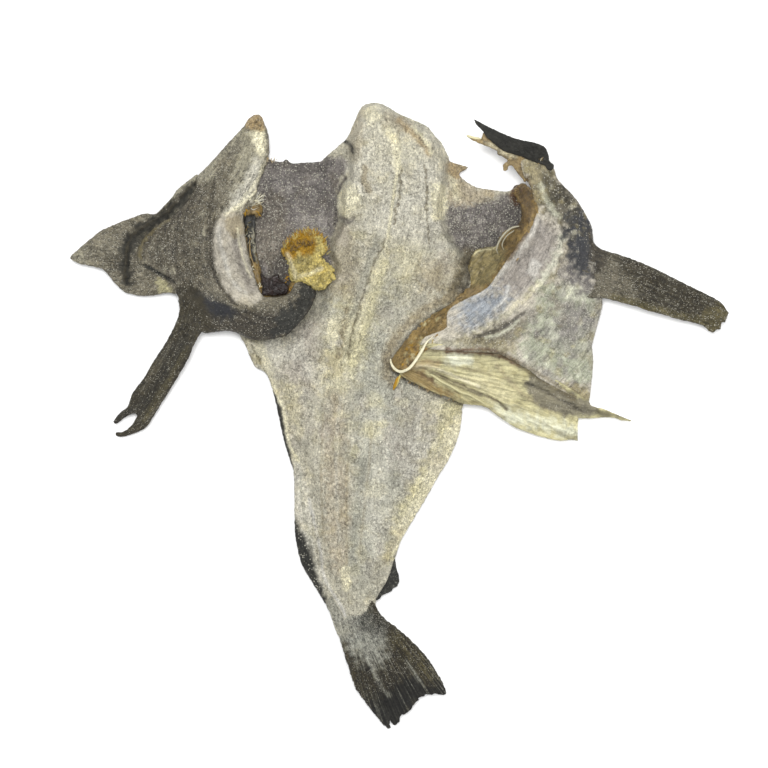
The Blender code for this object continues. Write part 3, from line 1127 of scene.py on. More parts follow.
@dataclass
class SplitBody:
    """The flesh and belly walls, opened out flat on the skin."""

    wall: float = 3.2  # the bare belly wall's thickness
    curl: float = 3.0  # how far the edge has curled up
    curl_width: float = 16.0  # the width over which it curls
    thickness: tuple = (
        (-178, 1.5), (-150, 5.8), (-120, 7), (-60, 8.5), (0, 9.5), (60, 10.5), (120, 12.5), (200, 15),
        (245, 12),
    )  # the flesh's thickness, at stations along the fish
    seams: tuple = (
        ([(-15, 244), (-8, 200), (-9, 160), (-25, 110), (-35, 60), (-47, 30)], 2.5, 11),
        ([(-42, 178), (-40, 166)], 2.5, 8),
        ([(34, 216), (28, 190), (30, 165), (32, 130)], 1.5, 9),
        ([(-62, -90), (-60, -120), (-50, -147)], 1.0, 5),
    )  # the ridges of the flesh: course, height and half width
    outline: Outline = (
        (-20, 249.8), (-11, 247.5), (1, 240.5), (21, 231.8), (28, 223.8), (34, 217.5), (39, 207),
        (41.5, 202.5), (55, 198.5, 1), (48, 192.5), (60, 183), (75, 180), (88, 179), (94, 184), (101, 180),
        (107, 150), (92, 105), (66, 45), (51, 9), (50, 2), (47.5, -15.3), (39, -35.4), (30, -50), (20, -68),
        (8, -88), (0, -103), (-9, -130), (-18, -146), (-19.5, -154), (-22, -162), (-30, -176), (-42, -184),
        (-50, -172), (-56, -154), (-60, -148), (-71, -130), (-77.5, -118.5), (-81, -105), (-83, -90),
        (-83.5, -50), (-86, -38), (-92, -18), (-99, 14), (-104, 30), (-108, 36), (-113, 38), (-117, 43),
        (-122, 55), (-127, 66), (-131, 95), (-127, 150), (-112, 190), (-106, 204), (-100, 203),
        (-94, 202.5), (-90, 204.5), (-86, 201.5), (-75, 202), (-63, 203), (-58, 207), (-43, 220),
        (-39, 226), (-34, 238), (-29, 247),
    )  # the edge of the belly walls
    flesh: Outline = (
        (-21, 251), (-10, 247.5), (10, 236.5), (23, 231), (34, 218), (41, 200), (38, 180), (36, 165),
        (42, 146), (52, 132), (66, 100), (62, 60), (51, 5), (46, -18), (31, -51), (9, -89), (-3, -116),
        (-17, -146), (-20, -158), (-28, -170), (-38, -180), (-47, -176), (-54, -154), (-62, -128),
        (-66, -110), (-70, -80), (-78, -38), (-88, -22), (-94, 6), (-104, 30), (-122, 60), (-95, 62),
        (-72, 84), (-61, 104), (-53, 118), (-57, 130), (-55, 141), (-50, 150), (-49, 166), (-48, 180),
        (-43, 190), (-41, 205), (-42, 220), (-35, 234), (-31, 247),
    )  # the edge of the flesh on them

    def lift(self, depth: Array) -> Array:
        """How far the skin side stands off the surface, which it does only near the outline."""
        return self.curl * (1 - smooth_step(depth / self.curl_width))

    def top(self, points: Array, depth: Array) -> Array:
        """The upper side: bare belly wall, and flesh where the flesh lies.

        Args:
            points: places in the plane, one row each.
            depth: how deep inside the outline each of them lies.

        Returns:
            A height for each point.
        """
        # the flesh's edge slopes over 7 mm near the nape and over 14 mm further down
        slope = 7 + 7 * smooth_step((125 - points[:, 1]) / 60)
        flesh = smooth_step(depth_in(points, closed_curve(self.flesh, 4.0)) / slope)
        relief = sum(ridge(points, *seam) for seam in self.seams)
        return self.lift(depth) + self.wall + flesh * (along_fish(points, self.thickness) + relief)

    def marks(self) -> list[Mark]:
        """What shows on the opened side, the broad areas first.

        Returns:
            The marks, in the order in which they are drawn.
        """
        t = Tone
        broad = [
            area(t.FLESH_COOL, 12, [(-34, 70), (-8, 60), (20, -20), (-6, -80), (-18, -120), (-34, -118),
                (-34, -20)], 0.6),
            area(t.FLESH_GREY, 9, [(-24, 108), (2, 110), (6, 84), (-8, 72), (-24, 84)], 0.55),
            area(t.FLESH_LILAC, 12, [(0, 10), (30, 0), (22, -40), (5, -60), (-8, -30)], 0.5),
            area(t.FLESH_LILAC, 12, [(-95, 55), (-75, 75), (-62, 60), (-85, -20)], 0.75),
            # painted light: a paler patch that lifts the shade under the left lip
            area(t.FLESH_PALE, 6, [(-112, 62), (-84, 66), (-76, 52), (-90, 42), (-104, 46)], 0.8),
            area(t.FLESH_BROWN, 3, [(-57, 47), (-47, 48), (-45, 33), (-55, 33)], 0.7),
            area(t.FLESH_GREY, 5, [(-64, 98), (-46, 98), (-42, 82), (-58, 80)], 0.6),
            area(t.FLESH_BROWN, 8, [(16, 120), (40, 126), (54, 120), (48, 98), (28, 102)], 0.55),
            area(t.FLESH_YELLOW, 12, [(-45, 100), (-25, 70), (-48, 15), (-60, 30)], 0.5),
            area(t.FLESH_YELLOW, 10, [(0, 140), (22, 130), (5, 96), (-6, 118)], 0.35),
            area(t.FLESH_BROWN, 7, [(16, 124), (34, 122), (34, 100), (16, 100)], 0.4),
            area(t.FLESH_PALE, 6, [(10, -14), (28, -18), (26, -36), (12, -36)], 0.7),
            area(t.PINK_BEIGE, 6, [(-58, 10), (-46, 10), (-41, -60), (-40, -118), (-54, -118),
                (-58, -60)], 0.8),
            area(t.FLESH_PALE, 9, [(-24, 0), (-8, -10), (-8, -70), (-20, -112), (-28, -70), (-22, -40)], 0.5),
            area(t.FLESH_GREY, 9, [(-38, -118), (-20, -118), (-18, -140), (-34, -146)], 0.5),
            line(t.FLESH_GREY, 3.4, [(-29, -35), (-38, -118)], 0.9, -0.6),
            line(t.FLESH_BROWN, 1.2, [(-40, -20), (-42, -60), (-42, -118)], 0.55, -0.5),
            line(t.FLESH_BROWN, 1.1, [(-22, -4), (-24, -40), (-32, -112)], 0.35, -0.4),
            line(t.FLESH_PALE, 1.3, [(-47, 14), (-50, -20), (-50, -60), (-48, -100)], 0.45, 0.4),
            line(t.FLESH_BROWN, 1, [(-60, 6), (-62, -30), (-62, -70), (-60, -100)], 0.45, -0.4),
            area(t.FLESH_YELLOW, 5, [(54, 14), (50, -2), (40, -38), (20, -72), (-4, -112), (-12, -112),
                (0, -80), (28, -22), (36, 10)], 1, -0.8),
            # the cream edge of the flesh is partly its own colour and partly painted light that lifts the
            # shade of its slope
            area(t.CREAM, 3, [(54, 0), (50, -8), (40, -37), (20, -71), (-4, -108), (-6, -98), (18, -52),
                (33, -20), (42, -4)], 1),
            area(t.FLESH_YELLOW, 6, [(-94, 26), (-84, 24), (-78, 4), (-80, -16), (-88, -4)], 0.5),
            line(t.FLESH_BROWN, 2.6, [(2, -92), (-8, -108), (-12, -118)], 0.5),
            area(t.FLESH_BROWN, 7, [(-52, 150), (-38, 150), (-30, 118), (-34, 95), (-56, 96),
                (-60, 108)], 0.55),
            *blotches([t.FLESH_PALE, t.FLESH_GREY, t.FLESH_YELLOW, t.FLESH_LILAC], [(-36, 210), (20, 214),
                (34, 160), (50, 100), (20, 60), (40, -10), (-10, -110), (-40, -140), (-70, -60), (-84, 20),
                (-60, 90), (-46, 150)], 150, 5.5, 0.42, 51),
        ]
        nape = [
            area(t.FLESH_PALE, 10, [(-36, 236), (-18, 248), (28, 216), (30, 150), (-6, 140),
                (-36, 170)], 0.6),
            area(t.CREAM, 2, [(-30, 243), (-25, 247), (-18, 247), (-14, 240), (-20, 234),
                (-28, 236)], 0.6, 1.4),
            area(t.CREAM, 10, [(-24, 240), (-10, 246), (24, 226), (22, 204), (-20, 204)], 0.25),
            area(t.FLESH_BROWN, 3, [(-39, 240), (-31, 248), (-28, 238), (-30, 208), (-40, 204)], 0.45),
            area(t.FLESH_BROWN, 3, [(-12, 243), (6, 236), (4, 226), (-10, 229)], 0.45),
            line(t.SCRAP, 3, [(0, 236), (20, 217), (24, 210)], 0.75, -1.6),
            line(t.CREAM, 1.4, [(12, 230), (23, 217), (26, 210)], 1, 1.4),
            line(t.CREAM, 3.4, [(-8, 227), (-3, 218), (-1, 198)], 0.9, 1.4),
            line(t.SKIN_DARK, 1.4, [(-45, 220), (-39, 217), (-37, 211)], 0.95, -1),
        ]
        ridges = [
            line(t.FLESH_YELLOW, 5.5, [(-13, 122), (-37, 42)], 0.7, 0.9),
            line(t.CREAM, 2.2, [(-8, 142), (-29, 83), (-34, 62)], 0.45, 0.8, 1),
            line(t.CREAM, 1.2, [(0, 206), (-9, 142)], 1, 1.5, 0.25),
            line(t.GROOVE_SHADE, 0.7, [(1.6, 199), (0, 176), (-4, 154)], 0.7, -1, 1),
            line(t.GROOVE_SHADE, 0.8, [(-12, 142), (-13.5, 134), (-20.5, 121), (-27.5, 101), (-38.5, 62),
                (-41, 46)], 0.7, -1.1, 0.8),
            line(t.FLESH_GREY, 3.4, [(-17, 142), (-38, 80)], 0.55),
            line(t.FLESH_BROWN, 2.6, [(-27, 198), (-28, 188), (-24, 180)], 0.75),
            line(t.GROOVE_SHADE, 0.7, [(20.5, 203), (22.5, 178), (22, 168), (24, 138)], 0.7, -0.9, 0.8),
            area(t.CREAM, 2.5, [(26, 182), (37, 184), (37, 160), (27, 158)], 0.9, 0.3),
            # the white lump: the cream over it is partly its own colour and partly painted light that lifts
            # its shaded slope
            area(t.FLESH_PALE, 2.4, [(-50, 178), (-43, 188), (-33, 186), (-29, 176), (-33, 168),
                (-48, 168)], 0.9, 1),
            area(t.CREAM, 3, [(-50, 176), (-42, 186), (-33, 182), (-31, 172), (-35, 164),
                (-46, 160)], 0.85, 0.8),
            # painted shade along the lump's left and lower edges
            line(t.MEMBRANE_DARK, 1.2, [(-43, 190), (-48, 181), (-51, 170), (-50, 160),
                (-51, 152)], 0.95, -1),
            line(t.MEMBRANE_DARK, 2, [(-47, 158), (-40, 155), (-36, 158)], 0.7, -0.8),
        ]
        walls = [
            area(t.MEMBRANE, 2.2, [(-133, 110), (-128, 152), (-112, 192), (-106, 206), (-90, 206),
                (-62, 205), (-44, 206), (-42, 196), (-48, 184), (-51, 152), (-57, 136), (-55, 122),
                (-62, 106), (-80, 94), (-120, 92)], 0.97, salt=0.6),
            area(t.MEMBRANE_DARK, 7, [(-78, 190), (-54, 192), (-52, 168), (-60, 160), (-78, 168)], 0.6),
            *blotches([t.MEMBRANE_DARK, t.MEMBRANE_PALE, t.MEMBRANE], [(-124, 110), (-108, 200),
                (-62, 200), (-52, 168), (-58, 130), (-66, 104)], 150, 3, 0.5, 55, salt=0.3),
            area(t.MEMBRANE_PALE, 6, [(-74, 160), (-60, 160), (-58, 144), (-82, 148)], 0.7, salt=0.5),
            area(t.FLESH_BROWN, 6, [(-112, 172), (-96, 176), (-90, 150), (-100, 118), (-114, 130)], 0.3),
            line(t.MEMBRANE_DARK, 6, [(-104, 203), (-88, 202), (-74, 197), (-60, 201)], 0.85, salt=-0.2),
            area(t.MEMBRANE_DARK, 7, [(-110, 182), (-92, 176), (-96, 150), (-112, 140),
                (-118, 156)], 0.5, salt=-0.1),
            # painted shadow on the wall beside the crust's left side
            area(t.COLLAR_DARK, 5, [(-94, 132), (-88, 128), (-84, 108), (-94, 108), (-104, 118)], 0.6),
            area(t.MEMBRANE, 2.6, [(37, 169), (62, 170), (85, 176), (99, 174), (106, 160), (98, 146),
                (80, 134), (62, 128), (50, 132), (41, 146)], 0.95, salt=0.75),
            area(t.MEMBRANE_DARK, 5, [(38, 166), (52, 166), (50, 134), (41, 146)], 0.6, salt=0.5),
            *blotches([t.MEMBRANE_DARK, t.MEMBRANE_PALE], [(40, 166), (98, 172), (96, 150), (62, 130),
                (42, 146)], 60, 2.4, 0.5, 56, salt=0.4),
            area(t.MEMBRANE_DARK, 4, [(84, 165), (100, 168), (100, 154), (90, 148), (80, 156)], 0.7),
            area(t.MEMBRANE_DARK, 4, [(62, 144), (80, 148), (84, 138), (66, 132)], 0.6, salt=-0.2),
            area(t.PINK_BEIGE, 3, [(41, 200), (60, 183), (76, 181), (76, 174), (60, 169), (40, 170)], 0.9),
            line(t.CREAM, 3, [(42, 192), (46, 174)], 0.7),
            area(t.SCRAP, 2, [(39, 204), (56, 199), (48, 190), (40, 192)], 0.85),
            area(t.RED_BROWN, 2.2, [(90, 184), (101, 184), (105, 168), (96, 168), (89, 174)], 0.9),
            # from here to the end of this list: painted shadow on the flesh along the right rim's edge and
            # under the lower flap's edge
            line(t.GROOVE_SHADE, 5, [(56, 130), (42, 94)], 0.85),
            line(t.COLLAR_DARK, 3, [(57, 124), (48, 102)], 0.5),
            line(t.COLLAR_DARK, 3.5, [(-2, 60), (-8, 52), (-8, 40)], 0.45),
            line(t.COLLAR_DARK, 2.6, [(62, 131), (54, 104), (45, 90), (17.5, 72.5), (-4.5, 45),
                (-6, 38)], 0.85),
            line(t.FLESH_BROWN, 4, [(44, 96), (20, 84), (-4, 60), (-11, 36), (-6, 28)], 0.75),
            line(t.COLLAR_DARK, 1.8, [(-4, 35), (18, 22), (50, 9)], 0.75),
        ]
        lower = [
            area(t.CREAM, 2, [(-57, 74), (-51, 76), (-49, 66), (-53, 53), (-60, 63)], 0.9, 1.2),
            line(t.FLESH_BROWN, 2.4, [(-42, 84), (-48, 48)], 0.7, -1.6, 1),
            *blotches([t.CREAM, t.FLESH_PALE], [(-58, 76), (-46, 80), (-41, 76), (-50, 52),
                (-60, 60)], 20, 2, 0.8, 59, relief=1.2),
            line(t.COLLAR_DARK, 0.8, [(-118, 56), (-103, 28)], 0.9, -0.9),
            area(t.CREAM, 3, [(-118, 60), (-110, 60), (-104, 44), (-97, 18), (-103, 20)], 0.6),
            area(t.OLIVE, 2, [(-120, 50), (-113, 48), (-110, 41), (-116, 41)], 0.5),
            area(t.SKIN_DARK, 1, [(-103, 24), (-97, 13), (-93, 0), (-90, -20), (-87, -30), (-85, -43),
                (-88, -43), (-97, -18), (-105, 16)], 1, -0.8, 0.3),
            line(t.CREAM, 1.2, [(-101, 24), (-95, 11), (-91, -2), (-89.5, -15), (-86, -27),
                (-77, -42)], 1, 1.2, 0.3),
            area(t.FLESH_PALE, 2.4, [(-83, -42), (-76, -42), (-71, -80), (-66, -112), (-60, -136),
                (-64, -140), (-74, -110), (-82, -84)], 0.8),
            line(t.FLESH_GREY, 1, [(-79, -46), (-77, -70), (-69, -112)], 0.6, -0.5),
            area(t.SKIN_DARK, 2.4, [(-85, -80), (-79, -92), (-72, -104), (-65, -129), (-58, -146),
                (-60, -153), (-68, -144), (-80, -122), (-87, -98)], 1, ragged=0.5, salt=0.3),
            line(t.WHITE_AND_HIGHLIGHT, 1.3, [(-72, -67), (-63, -108), (-61, -125), (-55.5, -138), (-49, -148),
                (-43, -160)], 0.9, 1.2, 0.3),
            area(t.FLESH_PALE, 4, [(4, -36), (12, -40), (8, -54), (2, -54)], 0.6),
            area(t.CREAM, 1.2, [(-46, -120), (-42, -121), (-38.5, -127), (-39.5, -138), (-43, -142),
                (-46, -134)], 0.95, 1.2),
        ]
        return [*broad, *walls, *nape, *ridges, *lower]

    def back_marks(self) -> list[Mark]:
        """What shows on the skin side: the darker back, the lateral line and blotches.

        Returns:
            The marks.
        """
        t = Tone
        made = [
            area(t.SKIN_BACK, 18, [(-60, 225), (-20, 235), (-5, 120), (-40, 0), (-50, -160), (-90, -60),
                (-120, 80)], 0.85),
            area(t.SKIN_DARK, 10, [(-80, 200), (-60, 205), (-45, 60), (-62, -140), (-82, -60),
                (-100, 40)], 0.45),
            line(t.SKIN_BELLY, 1.8, [(5, 225), (8, 150), (-5, 80), (-22, 0), (-32, -80),
                (-38, -160)], 0.8, 0.3),
        ]
        rng = np.random.default_rng(23)
        for x, y in rng.uniform((-110, -150), (70, 220), (46, 2)):
            size = rng.uniform(4, 10)
            radii = (size, size * rng.uniform(0.7, 1.6))
            made.append(spot(t.SKIN_DARK, (x, y), radii, rng.uniform(0.2, 0.5)))
        return made

    def build(self) -> list[Object]:
        """Makes the body.

        Returns:
            The piece.
        """
        body = Sheet(
            "split_body", self.outline, self.top, lambda points, depth: self.lift(depth), Tone.FLESH,
            Tone.SKIN_BELLY, Flow([(-15, 250), (-8, 160), (-30, 60), (-42, -60), (-38, -165)]), self.marks(),
            self.back_marks(),
            [Wrinkle(9, 34, 0.6), Wrinkle(3.6, 9, 0.4), Wrinkle(2.2, 3.5, 0.18)],
            pitch=0.98, edge_radius=2.2, seed=3, salt=0.15,
        ).build()
        return [Finish.FLESH.dress(body)]


@dataclass
class Tail:
    """The tail fin and the small black fin beside the fish's wrist."""

    origin: tuple = (-65, -88)  # where the tail's rays spread from
    thickness: tuple = ((-250, 1.4), (-200, 2.4), (-165, 3.2), (-140, 3.0))  # at stations along the fish
    outline: Outline = (
        (-57, -149), (-54, -160), (-50, -170), (-39, -205), (-33, -220), (-15, -244), (-9.5, -249.4),
        (-7, -249.5, 1), (-8, -246), (-7.2, -243, 1), (-4.5, -247.3), (-2, -246.5, 1), (0, -244.5),
        (0.6, -240.5, 1), (2, -238.7), (5, -238.6, 1), (10, -234, 1), (11.5, -231), (15.5, -227.5, 1),
        (15, -226), (19, -224.8, 1), (21.5, -222.6), (26, -223, 1), (29, -222.2), (35, -223),
        (37.5, -222, 1), (34, -213), (20, -191), (0.5, -172), (-9, -165), (-16.5, -157.5), (-20, -150),
        (-28, -140), (-45, -138),
    )  # the tail fin's edge
    heights: tuple = (
        (-45, -145, 6.5), (-25, -148, 6.5), (-38, -168, 7.8), (-18, -160, 8.2), (-30, -190, 8.5),
        (0, -185, 8), (38, -222, 9), (15, -205, 7), (-20, -225, 6.5), (-8, -250, 5.5), (-52, -165, 7),
    )  # spot heights (x, y, z) of its upper side

    def marks(self) -> list[Mark]:
        """Grey wrist, brown edges and a black trailing end.

        Returns:
            The marks.
        """
        t = Tone
        return [
            area(t.FIN_GREY, 7, [(-62, -146), (-30, -140), (-24, -160), (-12, -176), (-11, -194),
                (-24, -200), (-50, -176)], 0.9),
            area(t.FLESH, 5, [(-60, -146), (-36, -146), (-36, -170), (-50, -178)], 0.3),
            area(t.FIN_OLIVE, 6, [(-2, -172), (12, -182), (30, -210), (22, -216), (8, -196),
                (-8, -182)], 0.4),
            area(t.FIN_BLACK, 6, [(-24, -228), (-8, -220), (2, -210), (16, -208), (22, -216), (40, -214),
                (40, -226), (14, -232), (-4, -254), (-22, -246)], 1, salt=-0.4),
            area(t.SKIN_DARK, 2.6, [(-32, -160), (-12, -160), (-6, -168), (-12, -176),
                (-30, -172)], 0.7, salt=0.6),
            line(t.FIN_GREY, 1.5, [(-30, -186), (-16, -214), (-8, -224)], 0.5, 0.3),
            line(t.FIN_GREY, 1.2, [(6, -196), (16, -212)], 0.45),
        ]

    def tail(self) -> Sheet:
        """The tail fin, which thins from the wrist to its trailing end.

        Returns:
            The sheet.
        """
        surface = surface_through(self.heights)

        def under(points: Array, depth: Array) -> Array:
            """The lower side."""
            return surface(points) - along_fish(points, self.thickness)

        return Sheet(
            "tail_fin", self.outline, lambda points, depth: surface(points), under, Tone.FIN_BROWN,
            Tone.FIN_BLACK, Flow([self.origin]), self.marks(),
            wrinkles=[Wrinkle(2.6, 60, 0.28, True), Wrinkle(9, 30, 0.5)], pitch=0.85, edge_radius=0.9,
            fray=0.6, seed=5, salt=0.35, mottle=0.25,
        )

    def anal(self) -> Sheet:
        """The small black fin beside the wrist.

        Returns:
            The sheet.
        """
        surface = surface_through([(-3, -116, 5), (-2, -132, 4.5), (-25, -140, 6)])
        outline = [
            (-4.5, -114.5, 1), (-3.2, -116), (-2.3, -123), (-0.3, -129), (-0.5, -133, 1), (-2, -136.5),
            (-5, -138), (-6, -140.2, 1), (-10, -141.8), (-14, -144, 1), (-18.5, -147.5), (-30, -140),
            (-16, -120),
        ]
        middle = [(-4, -116), (0, -132), (-18, -146), (-14, -122)]
        marks = blotches([Tone.FIN_GREY, Tone.FIN_BLACK], middle, 40, 0.9, 0.5, 87)
        return Sheet(
            "anal_fin", outline, *slab(surface, 2.6, 1.4), Tone.SKIN_DARK, Tone.FIN_BLACK,
            Flow([(-30, -100)], 30), marks, wrinkles=[Wrinkle(2.2, 40, 0.2, True)], pitch=0.85,
            edge_radius=0.8, fray=0.4, seed=6, salt=0.2,
        )

    def build(self) -> list[Object]:
        """Makes the tail and the anal fin."""
        return [Finish.TAIL.dress(self.tail().build()), Finish.TAIL.dress(self.anal().build())]


@dataclass
class LeftCollar:
    """The left collar bone in its skin: an arm, a plate, a satin crescent and a thick lip, with the crook's
    dried contents, the cheek flap and the pectoral fin."""

    collar: Outline = (
        (-114, 240.5), (-109.5, 237.5), (-104.5, 222), (-105, 204), (-111, 190), (-114, 181),
        (-114.5, 172.5), (-118.5, 167), (-124.5, 161), (-124, 150), (-122, 135), (-115.5, 110), (-111, 98),
        (-106, 94.5), (-96, 95), (-88, 97.5), (-83, 105.5), (-78, 107), (-71, 103), (-66.5, 98),
        (-69, 90.5), (-73.5, 82), (-87, 67), (-95, 63), (-115, 60.5), (-130, 66.5), (-138, 68), (-148, 67),
        (-156, 66.5), (-165, 72), (-174, 84), (-176.5, 96), (-179, 107), (-186, 112), (-201.5, 121, 1),
        (-208.5, 122), (-209, 131), (-205, 140), (-197, 148.5), (-188, 155), (-181, 158.5), (-174.5, 165),
        (-164, 179), (-161.5, 190), (-158.5, 194), (-150.5, 202), (-131.5, 223), (-124, 231), (-120, 237),
    )  # the collar's edge
    heights: tuple = (
        (-114, 236, 20), (-106, 205, 9), (-125, 205, 17), (-150, 190, 15), (-172, 178, 13), (-115, 178, 14),
        (-145, 165, 19), (-126, 158, 16), (-123, 130, 17), (-140, 135, 27), (-133, 108, 27), (-113, 98, 20),
        (-150, 130, 20), (-175, 140, 17), (-205, 135, 11), (-205, 122, 11), (-180, 112, 13), (-175, 88, 13),
        (-155, 95, 20), (-150, 72, 16), (-125, 78, 25), (-100, 82, 25), (-105, 63, 17), (-80, 90, 22),
        (-66, 98, 17), (-90, 98, 20), (-80, 105, 18),
    )  # spot heights (x, y, z) of its upper side
    crust: Outline = (
        (-93.5, 131), (-91, 135.5), (-84, 141.5), (-79, 142.5), (-77, 146, 1), (-74, 145.5), (-72, 149, 1),
        (-70, 146), (-67, 147, 1), (-66.5, 143), (-61.5, 143.5, 1), (-60.5, 137), (-59, 131, 1), (-62, 127),
        (-58, 121.5), (-52, 117.5, 1), (-53, 113), (-49.5, 109.5, 1), (-56, 106.5), (-60, 102),
        (-66, 100.5), (-71, 104.5), (-78, 107), (-84, 106.5), (-87, 112), (-88, 121),
    )  # the edge of the crust in the crook

    def marks(self) -> list[Mark]:
        """What shows on the collar.

        Returns:
            The marks.
        """
        t = Tone
        arm = [
            area(t.COLLAR_PALE, 6, [(-124, 230), (-108, 230), (-105, 206), (-112, 186), (-136, 158),
                (-128, 214)], 0.75, salt=-0.2),
            area(t.FLESH_PALE, 4, [(-110, 206), (-113, 187), (-122, 173), (-138, 160), (-134, 174),
                (-122, 192), (-116, 206)], 0.75),
            area(t.CREAM, 1.8, [(-119, 229), (-108.5, 229), (-107, 218), (-109, 208),
                (-112.5, 209)], 1, 0.8, 1.2),
            area(t.SCRAP, 1.6, [(-122, 228.5), (-107, 229), (-108, 240), (-115, 243),
                (-122, 238)], 0.95, 1.2),
            line(t.COLLAR_PALE, 2, [(-128, 224), (-138, 212), (-160, 192)], 0.5),
            line(t.CREAM, 1.2, [(-109, 199), (-113, 189), (-126, 172)], 0.6, 0.6),
            line(t.CREAM, 1.4, [(-113, 182), (-120, 174), (-139, 160)], 0.8, 1.2),
            area(t.COLLAR_PALE, 3, [(-150, 202), (-160, 193), (-158, 186), (-148, 190)], 0.6),
        ]
        plate = [
            area(t.COLLAR_DARK, 9, [(-180, 160), (-160, 160), (-152, 110), (-166, 86), (-178, 100),
                (-200, 118), (-204, 140)], 0.55),
            area(t.COLLAR_DARK, 5, [(-163, 184), (-156, 182), (-158, 168), (-196, 142), (-206, 132),
                (-205, 146), (-176, 166)], 0.8),
            *blotches([t.COLLAR_DARK, t.FIN_BROWN, t.COLLAR_PALE], [(-200, 144), (-164, 182), (-150, 180),
                (-152, 110), (-160, 84), (-180, 108), (-206, 122)], 60, 2.2, 0.55, 61, relief=-0.4),
            line(t.COLLAR_DARK, 1.8, [(-148, 186), (-152, 150), (-148, 112)], 0.75, -0.8),
            line(t.OLIVE, 1.2, [(-184, 158), (-203, 142), (-207.5, 132), (-207, 124)], 0.5, 0.8, 0.9, -0.4),
        ]
        crescent = [
            area(t.SATIN, 2.4, [(-144, 158), (-125, 162), (-123, 148), (-121, 130), (-110, 97), (-115, 90),
                (-127, 90), (-137, 97), (-148, 122), (-149, 142)], 1, salt=-0.35),
            # the lilac band is partly the satin's own colour and partly painted shade on its side away from
            # the light
            line(t.SATIN_LILAC, 4, [(-131, 146), (-129, 130), (-118, 102)], 0.7, salt=-0.2),
            # a painted highlight along the crescent's left part
            line(t.WHITE_AND_HIGHLIGHT, 1.8, [(-144, 150), (-143, 138), (-136, 114), (-130, 104),
                (-122, 97)], 0.55, 0.9, salt=-0.2),
            area(t.FLESH_BROWN, 3, [(-138, 158), (-127, 160), (-124, 147), (-132, 143), (-138, 149)], 0.75),
            # painted shade in the crease along the crescent's outer edge
            line(t.COLLAR_DARK, 1.2, [(-147.5, 158), (-150, 142), (-149.5, 122), (-145, 107), (-137.5, 96),
                (-130, 89)], 0.85, -1.2),
            line(t.CREAM, 0.9, [(-129, 150), (-127.5, 138), (-124, 124), (-119, 111)], 0.6, 0.5),
        ]
        lip = [
            area(t.COLLAR_DARK, 4.5, [(-160, 92), (-150, 88), (-100, 84), (-84, 92), (-78, 104),
                (-62, 100), (-70, 80), (-88, 64), (-124, 58), (-162, 62), (-176, 80)], 0.94, salt=-0.12),
            area(t.BLUE_BLACK, 4, [(-167, 102), (-134, 87), (-134, 78), (-150, 80),
                (-166, 94)], 0.95, salt=-0.3),
            area(t.SKIN_DARK, 3, [(-64, 100), (-74, 106), (-80, 99), (-83, 90), (-98, 80), (-100, 62),
                (-78, 71)], 0.95, ragged=1.5, salt=-0.2),
            area(t.FIN_BROWN, 5, [(-176, 104), (-160, 100), (-150, 66), (-176, 70)], 0.95, salt=-0.15),
        ]
        return [*plate, *arm, *crescent, *lip]

    def cheek(self) -> Sheet:
        """The leaf-shaped flap with the dark fold and the rounded lobe.

        Returns:
            The sheet.
        """
        t = Tone
        surface = surface_through([
            (-263, 125, 7), (-235, 134, 9.5), (-205, 158, 8), (-210, 98, 6), (-185, 99, 8), (-200, 125, 9.5),
            (-170, 125, 12), (-178, 158, 10), (-214, 138, 7), (-165, 184, 12),
        ])
        outline = [
            (-161, 192), (-168.5, 187.5), (-177, 180.5), (-182.5, 173), (-189, 166), (-195.5, 160.8),
            (-206, 160.5), (-233, 150), (-243, 144), (-260, 129.5), (-263.2, 125.8, 1), (-256, 122),
            (-243, 119), (-237, 117.5), (-232, 112), (-225, 104), (-219, 99), (-210, 96.5), (-203, 96),
            (-193, 97), (-185, 98.7), (-176, 98.5), (-168, 110), (-168, 140), (-160, 178),
        ]
        fold = [
            (-162, 187), (-169, 179), (-177, 170), (-186, 161), (-196, 154), (-206, 148.5), (-213, 142),
            (-216.5, 131), (-217.5, 119), (-218, 107),
        ]
        marks = [
            area(t.COLLAR_PALE, 5, [(-266, 128), (-254, 134), (-250, 121), (-262, 122)], 0.6),
            area(t.COLLAR_DARK, 8, [(-236, 130), (-222, 146), (-186, 160), (-212, 134), (-214, 106),
                (-228, 112)], 0.45),
            area(t.COLLAR_PALE, 6, [(-246, 134), (-226, 146), (-222, 132), (-238, 126)], 0.15),
            # the fold's dark band and black lines are partly the skin's own dark colour and partly painted
            # shade in the fold
            area(t.SKIN_DARK, 3, [(-160, 192), (-188, 165), (-220, 141), (-222, 107), (-214, 105),
                (-214, 122), (-202, 144), (-178, 160), (-164, 174)], 0.75, ragged=1.2, salt=-0.4),
            line(t.COLLAR_PALE, 2, [(-160, 194), (-176, 181), (-182, 174)], 0.9),
            line(t.FIN_BLACK, 0.9, [(x - 3.4, y + 2.4) for x, y in fold], 0.55, -0.8, 1.2, -0.4),
            line(t.FIN_BLACK, 1.1, [(x + 0.8, y - 0.8) for x, y in fold], 0.8, -1.4, 1, -0.4),
            line(t.FIN_BROWN, 1, [(x - 1.4, y + 0.9) for x, y in fold], 0.8, 1.4, 0.9, -0.4),
            area(t.FLAP_YELLOW, 1.6, [(-193, 110), (-184, 104), (-183, 98),
                (-192, 98)], 0.65, 0.8, salt=-0.3),
            # painted shadow under the edge of the collar's plate
            line(t.SKIN_DARK, 1.5, [(-203, 120), (-180, 107)], 1, -0.8, salt=-0.3),
        ]
        return Sheet(
            "cheek_flap", outline, *slab(surface, 3.0, 1.5), t.COLLAR, t.FIN_BROWN, Flow([(-170, 120)], 60),
            marks, wrinkles=[Wrinkle(6, 30, 0.4), Wrinkle(2.5, 6, 0.16)], pitch=0.95, edge_radius=0.9, seed=9,
            salt=0.55, mottle=0.16,
        )

